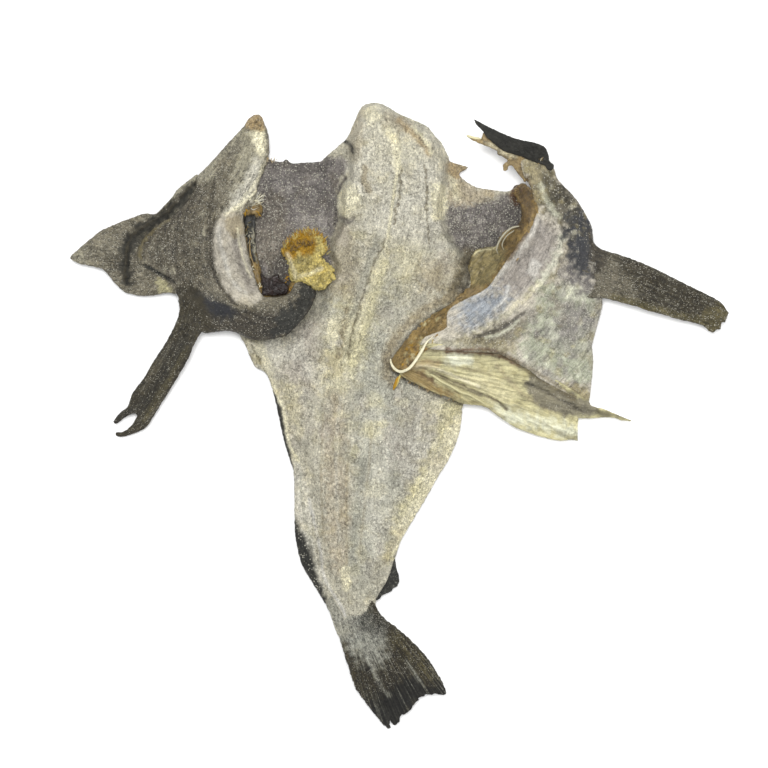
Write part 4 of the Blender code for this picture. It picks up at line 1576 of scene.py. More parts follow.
    def fin(self) -> Sheet:
        """The pectoral fin, whose end is split in two prongs.

        Returns:
            The sheet.
        """
        t = Tone
        surface = surface_through([
            (-160, 88, 16), (-176, 88, 13), (-150, 74, 14), (-172, 60, 14), (-190, 35, 13), (-205, 12, 9),
            (-226, -3, 5), (-224, -14, 4), (-185, 28, 10),
        ])
        outline = [
            (-177.5, 102), (-175.6, 92), (-176, 80), (-181, 68), (-187.5, 56), (-196, 43.3), (-204, 29.5),
            (-212, 19), (-216, 9), (-218.2, 5.2), (-223, 2), (-228.3, -5, 1), (-226, -6.4), (-220, -1.5),
            (-214, 1.5), (-210.5, 1.6), (-209, -0.5, 1), (-212.5, -6.5), (-218, -12), (-222.5, -13.7),
            (-226.3, -13.8, 1), (-225.5, -16), (-220, -16.5), (-203.6, -10), (-196.4, 0), (-171.4, 41),
            (-164.4, 56.5), (-158.5, 66.5), (-151.5, 70), (-144, 80), (-158, 100),
        ]
        marks = [
            line(t.FIN_BLACK, 6, [(-172, 60), (-197, 18), (-208, 4), (-224, -2)], 0.5, 0.4),
            line(t.FIN_OLIVE, 2.2, [(-170, 54), (-182, 32), (-204, -3)], 0.35, 0.4),
            line(t.COLLAR, 1.2, [(-182, 58), (-206, 20)], 0.35, 0.3),
        ]
        flow = Flow([(-158, 105), (-166, 82), (-176, 58), (-192, 30), (-206, 8), (-224, -10)])
        return Sheet(
            "left_pectoral_fin", outline, *slab(surface, 3.6, 1.6), t.FIN_BROWN, t.FIN_BROWN, flow, marks,
            wrinkles=[Wrinkle(3.0, 70, 0.3, True), Wrinkle(5, 30, 0.3)], pitch=0.9, edge_radius=1.0, fray=0.3,
            seed=10, salt=0.28, mottle=0.2,
        )

    def gill_crust(self) -> Sheet:
        """The crumbly yellow crust in the crook.

        Returns:
            The sheet.
        """
        t = Tone
        surface = surface_through([
            (-92, 131, 12), (-80, 141, 16), (-70, 146, 14), (-62, 140, 15), (-75, 128, 21), (-60, 120, 16),
            (-51, 110, 13), (-63, 102, 14), (-78, 108, 18), (-87, 115, 15), (-68, 112, 19),
        ])
        marks = [
            area(t.CRUST_ORANGE, 3, [(-94, 132), (-72, 149), (-67, 132), (-74, 128), (-80, 130),
                (-86, 124)], 0.95, -1, salt=-0.8),
            area(t.OLIVE, 2.5, [(-80, 126), (-70, 126), (-68, 118), (-76, 114), (-82, 119)], 0.35, -1.5),
            line(t.CREAM, 1.8, [(-89, 129), (-82, 110)], 0.55, 1),
            line(t.CREAM, 1.6, [(-78, 112), (-70, 114), (-62, 118)], 0.6, 1.2),
        ]
        return Sheet(
            "gill_crust", self.crust, lambda points, depth: surface(points), level(3.0), t.CRUST_YELLOW,
            t.CRUST_ORANGE, Flow([(-72, 90), (-72, 160)]), marks,
            wrinkles=[Wrinkle(4.2, 4.2, 1.7), Wrinkle(1.9, 1.9, 0.9)], pitch=0.75, fray=0.9, seed=12,
            mottle=0.3, salt=1.0,
        )

    def lining(self) -> Sheet:
        """The horny lining of the crook.

        Returns:
            The sheet.
        """
        t = Tone
        outline = [
            (-124.6, 168), (-117.6, 171.5), (-112.6, 172), (-109.6, 166), (-110.6, 160.5), (-114.6, 158),
            (-115.1, 146), (-114.1, 130), (-107.1, 104), (-104.6, 96), (-93.6, 96), (-87.6, 104),
            (-83.6, 111), (-77.6, 107), (-79.6, 94), (-87.6, 88), (-101.6, 88), (-113.6, 94), (-119.6, 118),
            (-124.6, 140),
        ]
        marks = [
            # painted shade: the dark slot between the crescent's inner edge and the membrane below
            area(t.FIN_BLACK, 1.2, [(-124.6, 160), (-112.6, 158.5), (-113.6, 140), (-114.6, 124),
                (-118.6, 124), (-123.6, 148)], 1, -2.5),
            line(t.COLLAR_PALE, 0.7, [(-117.2, 150), (-115.6, 132), (-113.6, 122)], 0.9, 1, 0.9),
        ]
        return Sheet(
            "crook_lining", outline, level(10.5, 2.5, 4), level(3.0), t.HORN, t.HORN_DARK,
            Flow([(-112.6, 170), (-116.6, 140), (-107.6, 98)]), marks,
            wrinkles=[Wrinkle(3, 7, 0.5), Wrinkle(1.6, 3, 0.25)], pitch=0.8, edge_radius=1.4, fray=0.5,
            seed=13, mottle=0.3,
        )

    def blood(self) -> Sheet:
        """The dark dried blood in the crook's corner.

        Returns:
            The sheet.
        """
        outline = [
            (-110.5, 113.5), (-107, 110.5), (-104, 109.5), (-100, 112), (-96.5, 112.5), (-95.5, 108.5),
            (-91, 106), (-88.5, 102), (-89.5, 97.5), (-97, 95.5), (-104, 96), (-109.5, 96), (-110, 103),
        ]
        return Sheet(
            "blood_lumps", outline, level(14.5, 1.5, 5), level(4.0), Tone.BLOOD, Tone.BLOOD,
            Flow([(-110, 104), (-88, 104)]), wrinkles=[Wrinkle(3.2, 3.2, 1.3), Wrinkle(1.5, 1.5, 0.7)],
            pitch=0.7, edge_radius=1.4, fray=0.6, seed=14, mottle=0.3,
        )

    def build(self) -> list[Object]:
        """Makes the collar and all that belongs to it.

        Returns:
            The pieces.
        """
        surface = surface_through(self.heights)
        lip = [(-128, 76), (-108, 76), (-90, 82), (-77, 95)]
        root = [(-106, 206), (-110, 192)]

        def under(points: Array, depth: Array) -> Array:
            """The lower side, which reaches down to the flesh under the lip and at the arm's root."""
            return surface(points) - 3.5 - ridge(points, lip, 9.0, 14) - ridge(points, root, 3.5, 8)

        collar = Sheet(
            "left_collar", self.collar, lambda points, depth: surface(points), under, Tone.COLLAR,
            Tone.COLLAR_DARK,
            Flow([(-116, 250), (-134, 205), (-158, 160), (-160, 120), (-140, 92), (-100, 78), (-66, 96)]),
            self.marks(), wrinkles=[Wrinkle(5.5, 26, 0.5), Wrinkle(2.4, 6, 0.2)], pitch=0.95, edge_radius=2.4,
            seed=8, salt=0.5, mottle=0.15,
        )
        return [
            Finish.COLLAR.dress(collar.build()),
            Finish.COLLAR.dress(self.cheek().build()),
            Finish.FIN.dress(self.fin().build()),
            Finish.CRUST.dress(self.gill_crust().build()),
            Finish.HORN.dress(self.lining().build()),
            Finish.BLOOD.dress(self.blood().build()),
        ]


@dataclass
class RightCollar:
    """The right collar: a satin shell on a horny rim, with its hook, its lower flap and its pectoral fin."""

    shell: Outline = (
        (98, 204), (106, 205), (113, 203), (119, 204.5), (124, 196.5), (126, 190), (131, 184), (142, 172),
        (153, 153), (154.8, 143), (156, 137), (162, 131), (166, 114), (162.5, 95), (162, 86), (155.5, 62),
        (154, 55), (155, 45), (154, 30), (151.5, 9, 1), (141, 14.5), (115, 28.5), (105, 36), (85, 47.5),
        (75, 50.3), (35, 52.5), (22, 54), (17, 57, 1), (21, 62.5), (30, 66), (38, 70), (38.5, 77), (40, 84),
        (49, 90.5), (67, 99.5), (75, 107), (96.5, 139), (104.5, 150), (108, 160), (108, 172), (105, 184),
        (100, 192),
    )  # the shell's edge
    shell_heights: tuple = (
        (18, 56, 26), (42, 78, 29), (68, 99, 30), (82, 122, 30), (98, 144, 28), (106, 164, 24),
        (103, 186, 20), (92, 197, 23), (112, 202, 23), (128, 187, 17), (140, 166, 20), (153, 150, 12),
        (160, 125, 12), (160, 96, 10), (158, 75, 8), (153, 50, 7), (152, 20, 6.5), (125, 21, 12),
        (100, 37, 19), (70, 50, 24), (72, 84, 24), (96, 118, 24), (112, 145, 25), (128, 140, 27),
        (118, 110, 27), (95, 88, 26), (70, 68, 25), (132, 82, 16), (122, 55, 15), (142, 125, 21),
    )  # spot heights (x, y, z) of its upper side
    flap_heights: tuple = (
        (1, 33, 23), (20, 46, 25), (60, 48, 22), (90, 40, 18), (125, 18, 11), (150, 4, 6.5), (185, -4.5, 6),
        (142, -19, 5), (115, -17, 6), (90, -6, 9), (72, 5, 11), (50, 12, 14), (20, 25, 19), (62, 30, 20),
        (100, 12, 12),
    )  # the same for the lower flap
    hook_heights: tuple = (
        (61, 236, 24), (54, 223, 25), (90, 216, 30), (114, 210, 26), (105, 198, 23),
    )  # the same for the hook

    def shell_marks(self) -> list[Mark]:
        """What shows on the shell.

        Returns:
            The marks.
        """
        t = Tone
        return [
            area(t.SATIN_LILAC, 6, [(80, 112), (104, 154), (122, 152), (126, 128), (112, 104),
                (84, 94)], 0.95, salt=-0.2),
            # a painted highlight along the shell's ridge
            line(t.WHITE_AND_HIGHLIGHT, 2.4, [(60, 92), (88, 122), (104, 144), (110, 158)], 0.6, 0.5, 0.8),
            # the bluish patch is a painted reflection of the sky
            area(t.SKY_REFLECTION_BLUE, 10, [(50, 88), (66, 98), (86, 98), (82, 82), (62, 70),
                (50, 74)], 0.8, ragged=0.8, salt=-0.3),
            area(t.COLLAR_PALE, 5, [(22, 60), (66, 62), (96, 46), (80, 52), (44, 53), (20, 55)], 0.9),
            # a painted highlight on the shell
            line(t.WHITE_AND_HIGHLIGHT, 1.4, [(76, 84), (84, 92), (88, 104)], 0.6, 0.6),
            # the pale line is partly the ridge's own colour and partly a painted highlight on its crest
            line(t.FLAP_PALE, 3.2, [(130, 142), (127, 128), (111, 103)], 0.5, 1.2, 1.2),
            line(t.FLESH_YELLOW, 2.4, [(112, 105), (100, 93), (76, 74), (62, 66)], 0.4, 0.8, 1.2),
            # the olive line is partly its own colour and partly painted shadow beside the ridge
            line(t.OLIVE, 2.4, [(134, 138), (131, 124), (115, 99)], 0.6, -0.8, 1.2),
            # painted shadow: the grey band below the yellow ridge
            area(t.COLLAR, 5, [(70, 70), (98, 80), (106, 78), (100, 64), (84, 56), (58, 55)], 0.95, salt=0.3),
            area(t.OLIVE, 4, [(46, 61), (60, 64), (92, 59), (92, 50), (60, 54)], 0.55),
            # painted shade in the crease within that band
            line(t.COLLAR_DARK, 1.4, [(100, 82), (86, 72), (72, 66), (60, 63)], 0.8, -0.9),
            line(t.FLAP_PALE, 1.2, [(96, 76), (84, 67), (70, 62)], 0.5, 0.5),
            area(t.WEB_GREEN, 7, [(118, 104), (160, 96), (156, 60), (154, 26), (120, 34), (98, 52),
                (108, 78)], 0.9, salt=0.5),
            area(t.MEMBRANE, 7, [(112, 66), (160, 90), (158, 60), (146, 46)], 0.6, salt=0.4),
            # a painted highlight on the shell
            area(t.FLAP_PALE, 4, [(126, 104), (146, 104), (148, 92), (132, 90)], 0.75),
            *blotches([t.MEMBRANE, t.COLLAR, t.FLAP_PALE, t.FLAP_YELLOW, t.MEMBRANE, t.OLIVE], [(92, 60),
                (130, 104), (160, 92), (154, 24), (118, 34)], 120, 3, 0.6, 71, relief=0.4),
            area(t.OLIVE, 3, [(130, 26), (153, 20), (153, 8), (138, 13)], 0.8),
            area(t.MEMBRANE, 6, [(124, 94), (146, 90), (148, 68), (126, 72)], 0.65),
            area(t.MEMBRANE_DARK, 5, [(132, 134), (143, 132), (144, 110), (134, 112)], 0.6),
            area(t.COLLAR, 6, [(116, 190), (142, 176), (155, 152), (156, 130), (142, 124), (134, 146),
                (116, 164)], 0.95, salt=0.1),
            area(t.FIN_BROWN, 6, [(118, 192), (144, 174), (156, 152), (146, 140),
                (116, 172)], 0.95, salt=0.1),
            area(t.COLLAR, 4, [(125, 168), (138, 166), (137, 152), (127, 152)], 0.7),
            area(t.BLUE_BLACK, 8, [(134, 158), (154, 158), (160, 138), (155, 110), (145, 106),
                (136, 122)], 0.97, ragged=1.2, salt=-0.1),
            area(t.MEMBRANE, 6, [(130, 124), (140, 112), (156, 108), (160, 94), (132, 106)], 0.7, salt=0.4),
            # painted shade where the fin runs under the shell's edge
            area(t.COLLAR_DARK, 4, [(152, 146), (168, 134), (166, 96), (158, 98)], 0.8, salt=0.3),
            area(t.OLIVE, 5, [(98, 206), (120, 206), (126, 190), (108, 162)], 0.8),
            area(t.FIN_BROWN, 4, [(113, 198), (130, 184), (124, 174), (115, 182)], 0.7, salt=0.1),
            *blotches([t.FIN_BROWN, t.COLLAR_PALE, t.OLIVE, t.COLLAR_DARK], [(102, 202), (122, 200),
                (150, 160), (140, 140), (124, 160), (106, 176)], 90, 1.8, 0.7, 79, relief=0.3, salt=0.15),
            line(t.FLAP_PALE, 2.2, [(113, 184), (119, 171), (127, 160)], 0.45, 0.9, 0.8),
            # a painted highlight on the shell
            spot(t.WHITE_AND_HIGHLIGHT, (108, 117), (5, 8), 0.5),
            spot(t.FLAP_PALE, (146, 56), (5, 5), 0.5),
            line(t.HORN_DARK, 2.8, [(102, 188), (107, 160), (87, 125)], 0.95, 0.3),
            # painted shade along the shell's lower edge, where it lies on the flap
            line(t.RED_BROWN, 1.3, [(38, 53), (47, 52), (60, 53), (76, 51.5), (96, 42.5)], 0.85),
            line(t.GROOVE_SHADE, 1.6, [(60, 52), (85, 48.5), (105, 37), (148, 12)], 0.75),
        ]

    def rim(self) -> Sheet:
        """The thick cut edge on which the shell stands over the flesh.

        Returns:
            The sheet.
        """
        t = Tone
        crest = [(4, 39), (26, 60), (45, 78), (66, 94), (84, 116), (102, 142), (107, 165)]

        def top(points: Array, depth: Array) -> Array:
            """The rim's upper side."""
            return 11.5 + ridge(points, crest, 15.0, 11)

        outline = [
            (-3, 35), (-6.5, 40), (-5.5, 46), (0, 54), (7, 65), (15, 74), (24, 80.5), (34, 85), (43, 91),
            (47, 97), (52, 104), (55, 117), (60, 130.5), (68, 134), (77, 135.5), (80, 141), (86, 148),
            (94, 151.5), (98, 157), (98, 166), (94, 174), (92, 181), (101, 185), (112, 168), (108, 142),
            (88, 112), (62, 84), (36, 60), (12, 38),
        ]
        marks = [
            *blotches([t.CRUST_ORANGE, t.HORN_DARK, t.SCRAP, t.FLAP_YELLOW], [(0, 40), (20, 76), (44, 90),
                (36, 64), (8, 38)], 90, 1.6, 0.85, 73, relief=0.25),
            area(t.OLIVE, 3, [(60, 132), (78, 136), (86, 128), (70, 106), (56, 104), (54, 118)], 0.85, -0.6),
            line(t.FLESH_YELLOW, 1.2, [(59, 129), (66, 132.5), (76, 134), (79, 139)], 0.7, 0.8),
            area(t.SCRAP, 2.5, [(38, 88), (62, 104), (64, 99), (52, 92)], 0.6, 0.8),
            area(t.HORN_DARK, 3, [(92, 184), (102, 184), (108, 172), (107, 158), (96, 146), (92, 152),
                (98, 162)], 0.85, ragged=1.2),
            area(t.HORN_DARK, 2.4, [(80, 134), (90, 140), (96, 136), (86, 124)], 0.45),
        ]
        return Sheet(
            "right_rim", outline, top, level(3.0), t.HORN, t.HORN_DARK,
            Flow([(0, 36), (26, 64), (45, 84), (70, 112), (98, 144), (102, 180)]), marks,
            wrinkles=[Wrinkle(5, 8, 1.0), Wrinkle(2.2, 3, 0.4)], pitch=0.9, edge_radius=1.8, fray=0.7,
            seed=16, mottle=0.28,
        )

    def flap(self) -> Sheet:
        """The pale striped flap below the shell, with the ventral fin's dark strip and spine.

        Returns:
            The sheet.
        """
        t = Tone
        surface = surface_through(self.flap_heights)
        outline = [
            (1, 33.5), (6, 38), (12, 44), (16, 50), (22, 57), (62, 56), (92, 48), (120, 32), (149, 13),
            (153, 8), (158, 6.2), (165, 4.2), (178, -1.2), (186, -4.4, 1), (178, -3.4), (169, -1.0),
            (150, -2), (143.5, -1.3, 1), (142.5, -8), (142.7, -20, 1), (138, -19), (125, -19.3), (100, -12),
            (88, -6), (78, 1), (68, 7.5), (50, 10), (40, 15), (30, 18), (10, 27.5),
        ]
        marks = [
            area(t.FLAP_PALE, 4, [(38, 50), (56, 50), (58, 42), (42, 40)], 1),
            area(t.FLAP_PALE, 6, [(80, -4), (110, -10), (142, -18), (140, -10), (92, 4), (76, 10)], 0.8),
            area(t.FLESH_YELLOW, 6, [(54, 34), (80, 30), (92, 10), (58, 20)], 0.7),
            area(t.HORN, 3, [(1, 33), (12, 38), (24, 32), (30, 24), (48, 17), (38, 14), (8, 27)], 0.88, -1.2),
            area(t.RED_BROWN, 1.6, [(11, 37), (28, 29), (30, 23), (24, 28)], 0.75),
            line(t.GROOVE_SHADE, 1, [(12, 38), (22, 37), (48, 25), (76, 13), (86, 5)], 0.95, -1.2),
            line(t.CREAM, 1.2, [(14, 40), (24, 39.5), (36, 35), (64, 23)], 0.7, 1),
            line(t.GROOVE_SHADE, 0.8, [(26, 33), (54, 20), (68, 15)], 0.8, -0.8),
            line(t.GROOVE_SHADE, 0.9, [(18, 44), (30, 43), (74, 32)], 0.6, -0.8),
            line(t.GROOVE_SHADE, 0.8, [(30, 36), (46, 31), (80, 24)], 0.5, -0.7),
            line(t.FLESH_BROWN, 1.6, [(78, 40), (96, 20), (120, 4)], 0.5, -0.7),
            area(t.COLLAR, 2.4, [(103, 29), (112, 30), (150, 12), (160, 6), (150, -1), (120, 3),
                (102, 20)], 0.9, salt=0.3),
            line(t.COLLAR_DARK, 0.9, [(100, 28), (148, 3)], 0.7, -0.7, 0.8),
            area(t.FIN_BROWN, 1.4, [(158, 6), (172, 1), (187, -4.5), (172, -1.5), (160, -1)], 0.7, salt=-0.2),
            # painted shade along the flap's upper edge, where the shell lies on it
            line(t.GROOVE_SHADE, 2, [(20, 53), (64, 50), (80, 47.5), (94, 41), (140, 13.5)], 0.85, -0.6),
            line(t.RED_BROWN, 1.5, [(38, 51.5), (64, 50.5), (80, 48), (95, 40)], 0.8),
            line(t.OLIVE, 1.6, [(42, 14), (52, 11), (66, 9), (84, -2)], 0.65),
            line(t.SCRAP, 3, [(8, 40), (18, 42), (30, 41)], 0.7),
        ]
        return Sheet(
            "lower_flap", outline, *slab(surface, 3.4, 1.5), t.FLAP_YELLOW, t.FLAP_YELLOW,
            Flow([(-14, 46)], 60), marks, wrinkles=[Wrinkle(3.4, 60, 0.32, True), Wrinkle(8, 40, 0.6)],
            pitch=0.95, edge_radius=0.9, fray=0.3, seed=18, mottle=0.1, salt=0.1,
        )

    def hook_flesh(self) -> Sheet:
        """The pale, horny underside of the hook at the shell's upper end.

        Returns:
            The sheet.
        """
        t = Tone
        surface = surface_through(self.hook_heights)
        outline = [
            (53.5, 224.3, 1), (60, 222.5), (65.5, 221), (67.5, 226, 1), (74, 224), (88, 216), (104, 210),
            (116, 206), (113, 198), (106, 194), (101, 187, 1), (96, 193), (91.5, 199), (88, 200.5),
            (86.5, 197), (84.3, 196.3, 1), (83.6, 200), (87, 204), (84, 207), (80, 208.5), (78, 212),
            (72, 215), (60, 220),
        ]
        marks = [
            area(t.CREAM, 1.8, [(68, 219), (92, 210), (90, 206), (78, 211)], 0.5, 0.6),
        ]
        return Sheet(
            "hook_flesh", outline, *slab(lambda points: surface(points) - 2.2, 5.0, 2.4), Tone.HOOK,
            Tone.HORN_DARK, Flow([(54, 224), (84, 208), (106, 198)]), marks,
            wrinkles=[Wrinkle(3, 9, 0.6), Wrinkle(1.8, 3, 0.25)], pitch=0.8, fray=0.5, seed=20, mottle=0.2,
            salt=0.1,
        )

    def hook_skin(self) -> Sheet:
        """The hook's black skin.

        Returns:
            The sheet.
        """
        surface = surface_through(self.hook_heights)
        outline = [
            (60.3, 236.7, 1), (70, 231.5), (90, 222.3), (108, 218), (113, 216.5), (117.5, 213), (119.5, 207),
            (120, 203.5), (123.5, 200), (122.5, 196.8), (119, 197.3), (116.5, 200.5), (112, 201.5),
            (98, 207.5), (84, 212), (72, 221.5), (67, 228), (62, 233),
        ]
        return Sheet(
            "hook_skin", outline, *slab(lambda points: surface(points) + 0.6, 4.0, 2.0), Tone.FIN_BLACK,
            Tone.FIN_BLACK, Flow([(60, 237), (84, 221), (118, 206)]),
            wrinkles=[Wrinkle(3, 14, 0.5), Wrinkle(2, 4, 0.25)], pitch=0.8, edge_radius=1.8, fray=0.3,
            seed=21, mottle=0.25, salt=0.05,
        )

    def fin(self) -> Sheet:
        """The pectoral fin, whose end is blunt and torn.

        Returns:
            The sheet.
        """
        t = Tone
        surface = surface_through([
            (151, 134, 15.2), (147, 118, 17.8), (151, 102, 14.1), (156, 114, 13.6), (166, 114, 12.5),
            (180, 110, 15), (215, 98, 15), (262, 80, 9), (240, 96, 11), (235, 75, 10), (150, 146, 14.0),
            (162, 130, 11.8), (162, 98, 11.4),
        ])
        outline = [
            (150, 146), (156, 137.5), (160, 133.5), (165, 131.5), (180, 127), (200.5, 119), (241, 99),
            (252.8, 93), (258.6, 89), (263.4, 82, 1), (261.5, 78), (260.5, 74.8, 1), (258, 74.5),
            (257, 69.5, 1), (254, 69), (251, 66.8), (248, 68, 1), (245, 71), (238, 74), (225, 77), (212, 81),
            (200, 84), (190, 87.5), (168, 93.3), (162, 94.5), (150, 96), (144, 118),
        ]
        marks = [
            area(t.COLLAR, 9, [(150, 140), (196, 108), (186, 92), (150, 96)], 0.85),
            area(t.FIN_BROWN, 9, [(176, 124), (200, 118), (262, 86), (256, 72), (196, 96)], 0.8),
            line(t.FIN_OLIVE, 3, [(172, 94), (240, 75)], 0.8),
            area(t.FIN_OLIVE, 3, [(240, 80), (258, 90), (264, 82), (256, 68), (246, 68)], 0.7),
            # painted shade where the fin runs under the shell's edge
            area(t.COLLAR_DARK, 4, [(150, 146), (168, 134), (164, 118), (150, 116)], 0.9, salt=-0.3),
        ]
        return Sheet(
            "right_pectoral_fin", outline, *slab(surface, 3.6, 1.5), t.FIN_BROWN, t.FIN_BROWN,
            Flow([(140, 122), (200, 101), (262, 76)]), marks,
            wrinkles=[Wrinkle(3.2, 70, 0.28, True), Wrinkle(6, 30, 0.4)], pitch=0.95, edge_radius=1.0,
            fray=0.35, seed=22, salt=0.45, mottle=0.2,
        )

    def build(self) -> list[Object]:
        """Makes the collar and all that belongs to it.

        Returns:
            The pieces.
        """
        shell = Sheet(
            "right_shell", self.shell, *slab(surface_through(self.shell_heights), 4.0, 2.2), Tone.SATIN,
            Tone.COLLAR, Flow([(112, 210), (112, 165), (96, 120), (66, 82), (10, 50)]), self.shell_marks(),
            wrinkles=[Wrinkle(6, 34, 0.6), Wrinkle(2.6, 8, 0.18)], pitch=1.0, edge_radius=1.2, fray=0.25,
            seed=17, salt=0.2, mottle=0.1,
        )
        return [
            Finish.SATIN.dress(shell.build()),
            Finish.HORN.dress(self.rim().build()),
            Finish.WEB.dress(self.flap().build()),
            Finish.FIN.dress(self.fin().build()),
            Finish.HORN.dress(self.hook_flesh().build()),
            Finish.COLLAR.dress(self.hook_skin().build()),
        ]


# Strands, salt and fibres, by Geometry Nodes


class NodeTool(Tree):
    """A Geometry Nodes tree under construction, and its use on an object."""

    prefix = "GeometryNode"

    def __init__(self, name: str, sizes: dict[str, tuple[str, float]]) -> None:
        """Starts a tree.

        Args:
            name: the tree's name.
            sizes: each named input's socket type and value.
        """
        self.tree = bpy.data.node_groups.new(name, "GeometryNodeTree")
        self.sizes = sizes
        face = self.tree.interface
        face.new_socket("Geometry", in_out="INPUT", socket_type="NodeSocketGeometry")
        for label, (kind, _) in sizes.items():
            face.new_socket(label, in_out="INPUT", socket_type="NodeSocket" + kind)
        face.new_socket("Geometry", in_out="OUTPUT", socket_type="NodeSocketGeometry")
        self.start = self.tree.nodes.new("NodeGroupInput")
        self.end = self.tree.nodes.new("NodeGroupOutput")

    def number(self, operation: str, a: NodeSocket | float, b: NodeSocket | float) -> NodeSocket:
        """A Math node on two sockets or numbers."""
        return self.node("ShaderNodeMath", {"operation": operation}, {0: a, 1: b}).outputs[0]

    def stored(self, name: str) -> NodeSocket:
        """A number that the carrier holds at each of its points."""
        return self.node("InputNamedAttribute", {"data_type": "FLOAT"}, {"Name": name}).outputs[0]

    def chance(self, low: float, high: float, seed: NodeSocket) -> NodeSocket:
        """Three random numbers for each body."""
        limits = {"Min": (low,) * 3, "Max": (high,) * 3, "Seed": seed}
        return self.node("FunctionNodeRandomValue", {"data_type": "FLOAT_VECTOR"}, limits).outputs[0]

    def close(self, result: NodeSocket, material: Material) -> None:
        """Realizes the result, gives it its material and ends the tree.

        Args:
            result: the geometry.
            material: what it wears.
        """
        real = self.node("RealizeInstances", {}, {0: result})
        worn = self.node("SetMaterial", {}, {"Geometry": real.outputs[0], "Material": material})
        smooth = self.node("SetShadeSmooth", {}, {0: worn.outputs[0], "Shade Smooth": False})
        self.tree.links.new(smooth.outputs[0], self.end.inputs[0])

    def grow(self, name: str, carrier: Object) -> Object:
        """Runs the tree on a carrier, keeps the result as a plain mesh and removes the carrier.

        Args:
            name: the piece's name.
            carrier: what the tree runs on.

        Returns:
            The piece.
        """
        modifier = carrier.modifiers.new(name, "NODES")
        modifier.node_group = self.tree
        for item in self.tree.interface.items_tree:
            if item.in_out == "INPUT" and item.name in self.sizes:
                modifier[item.identifier] = self.sizes[item.name][1]
        evaluated = carrier.evaluated_get(bpy.context.evaluated_depsgraph_get())
        mesh = bpy.data.meshes.new_from_object(evaluated)
        mesh.name = name
        carrier.modifiers.remove(modifier)
        bpy.data.objects.remove(carrier)
        made = bpy.data.objects.new(name, mesh)
        bpy.context.scene.collection.objects.link(made)
        return made


@dataclass(frozen=True)
class Strand:
    """A tapering thread."""

    course: Sequence[tuple]  # its places, in three dimensions
    radius: float  # its thickest radius
    tone: Tone  # its colour


def tuft(
    root: Sequence[tuple], lean: tuple, length: float, count: int, radius: float, tones: Sequence[Tone],
    seed: int, spread: float = 0.5,
) -> list[Strand]:
    """Seeded short hairs.

    Args:
        root: the course on which the hairs stand.
        lean: the direction in which they mostly point.
        length: their middling length.
        count: how many there are.
        radius: their radius.
        tones: what each hair's colour is drawn from.
        seed: picks them.
        spread: how far their directions differ.

    Returns:
        The hairs.
    """
    rng = np.random.default_rng(seed)
    places = curve_through(root)
    places = places[rng.integers(len(places), size=count)] + rng.normal(0, 0.8, (count, 3)) * (1, 1, 0.4)
    made = []
    for place in places:
        way = np.array(lean) + spread * rng.normal(size=3) * (1, 1, 0.5)
        way *= length * rng.uniform(0.4, 1.3) / np.linalg.norm(way)
        middle = place + 0.5 * way + rng.normal(0, 0.12 * length, 3)
        tip = place + way
        course = [(x, y, max(z, LOWEST_HAIR)) for x, y, z in (place, middle, tip)]
        made.append(Strand(course, radius * rng.uniform(0.7, 1.3), tones[rng.integers(len(tones))]))
    return made


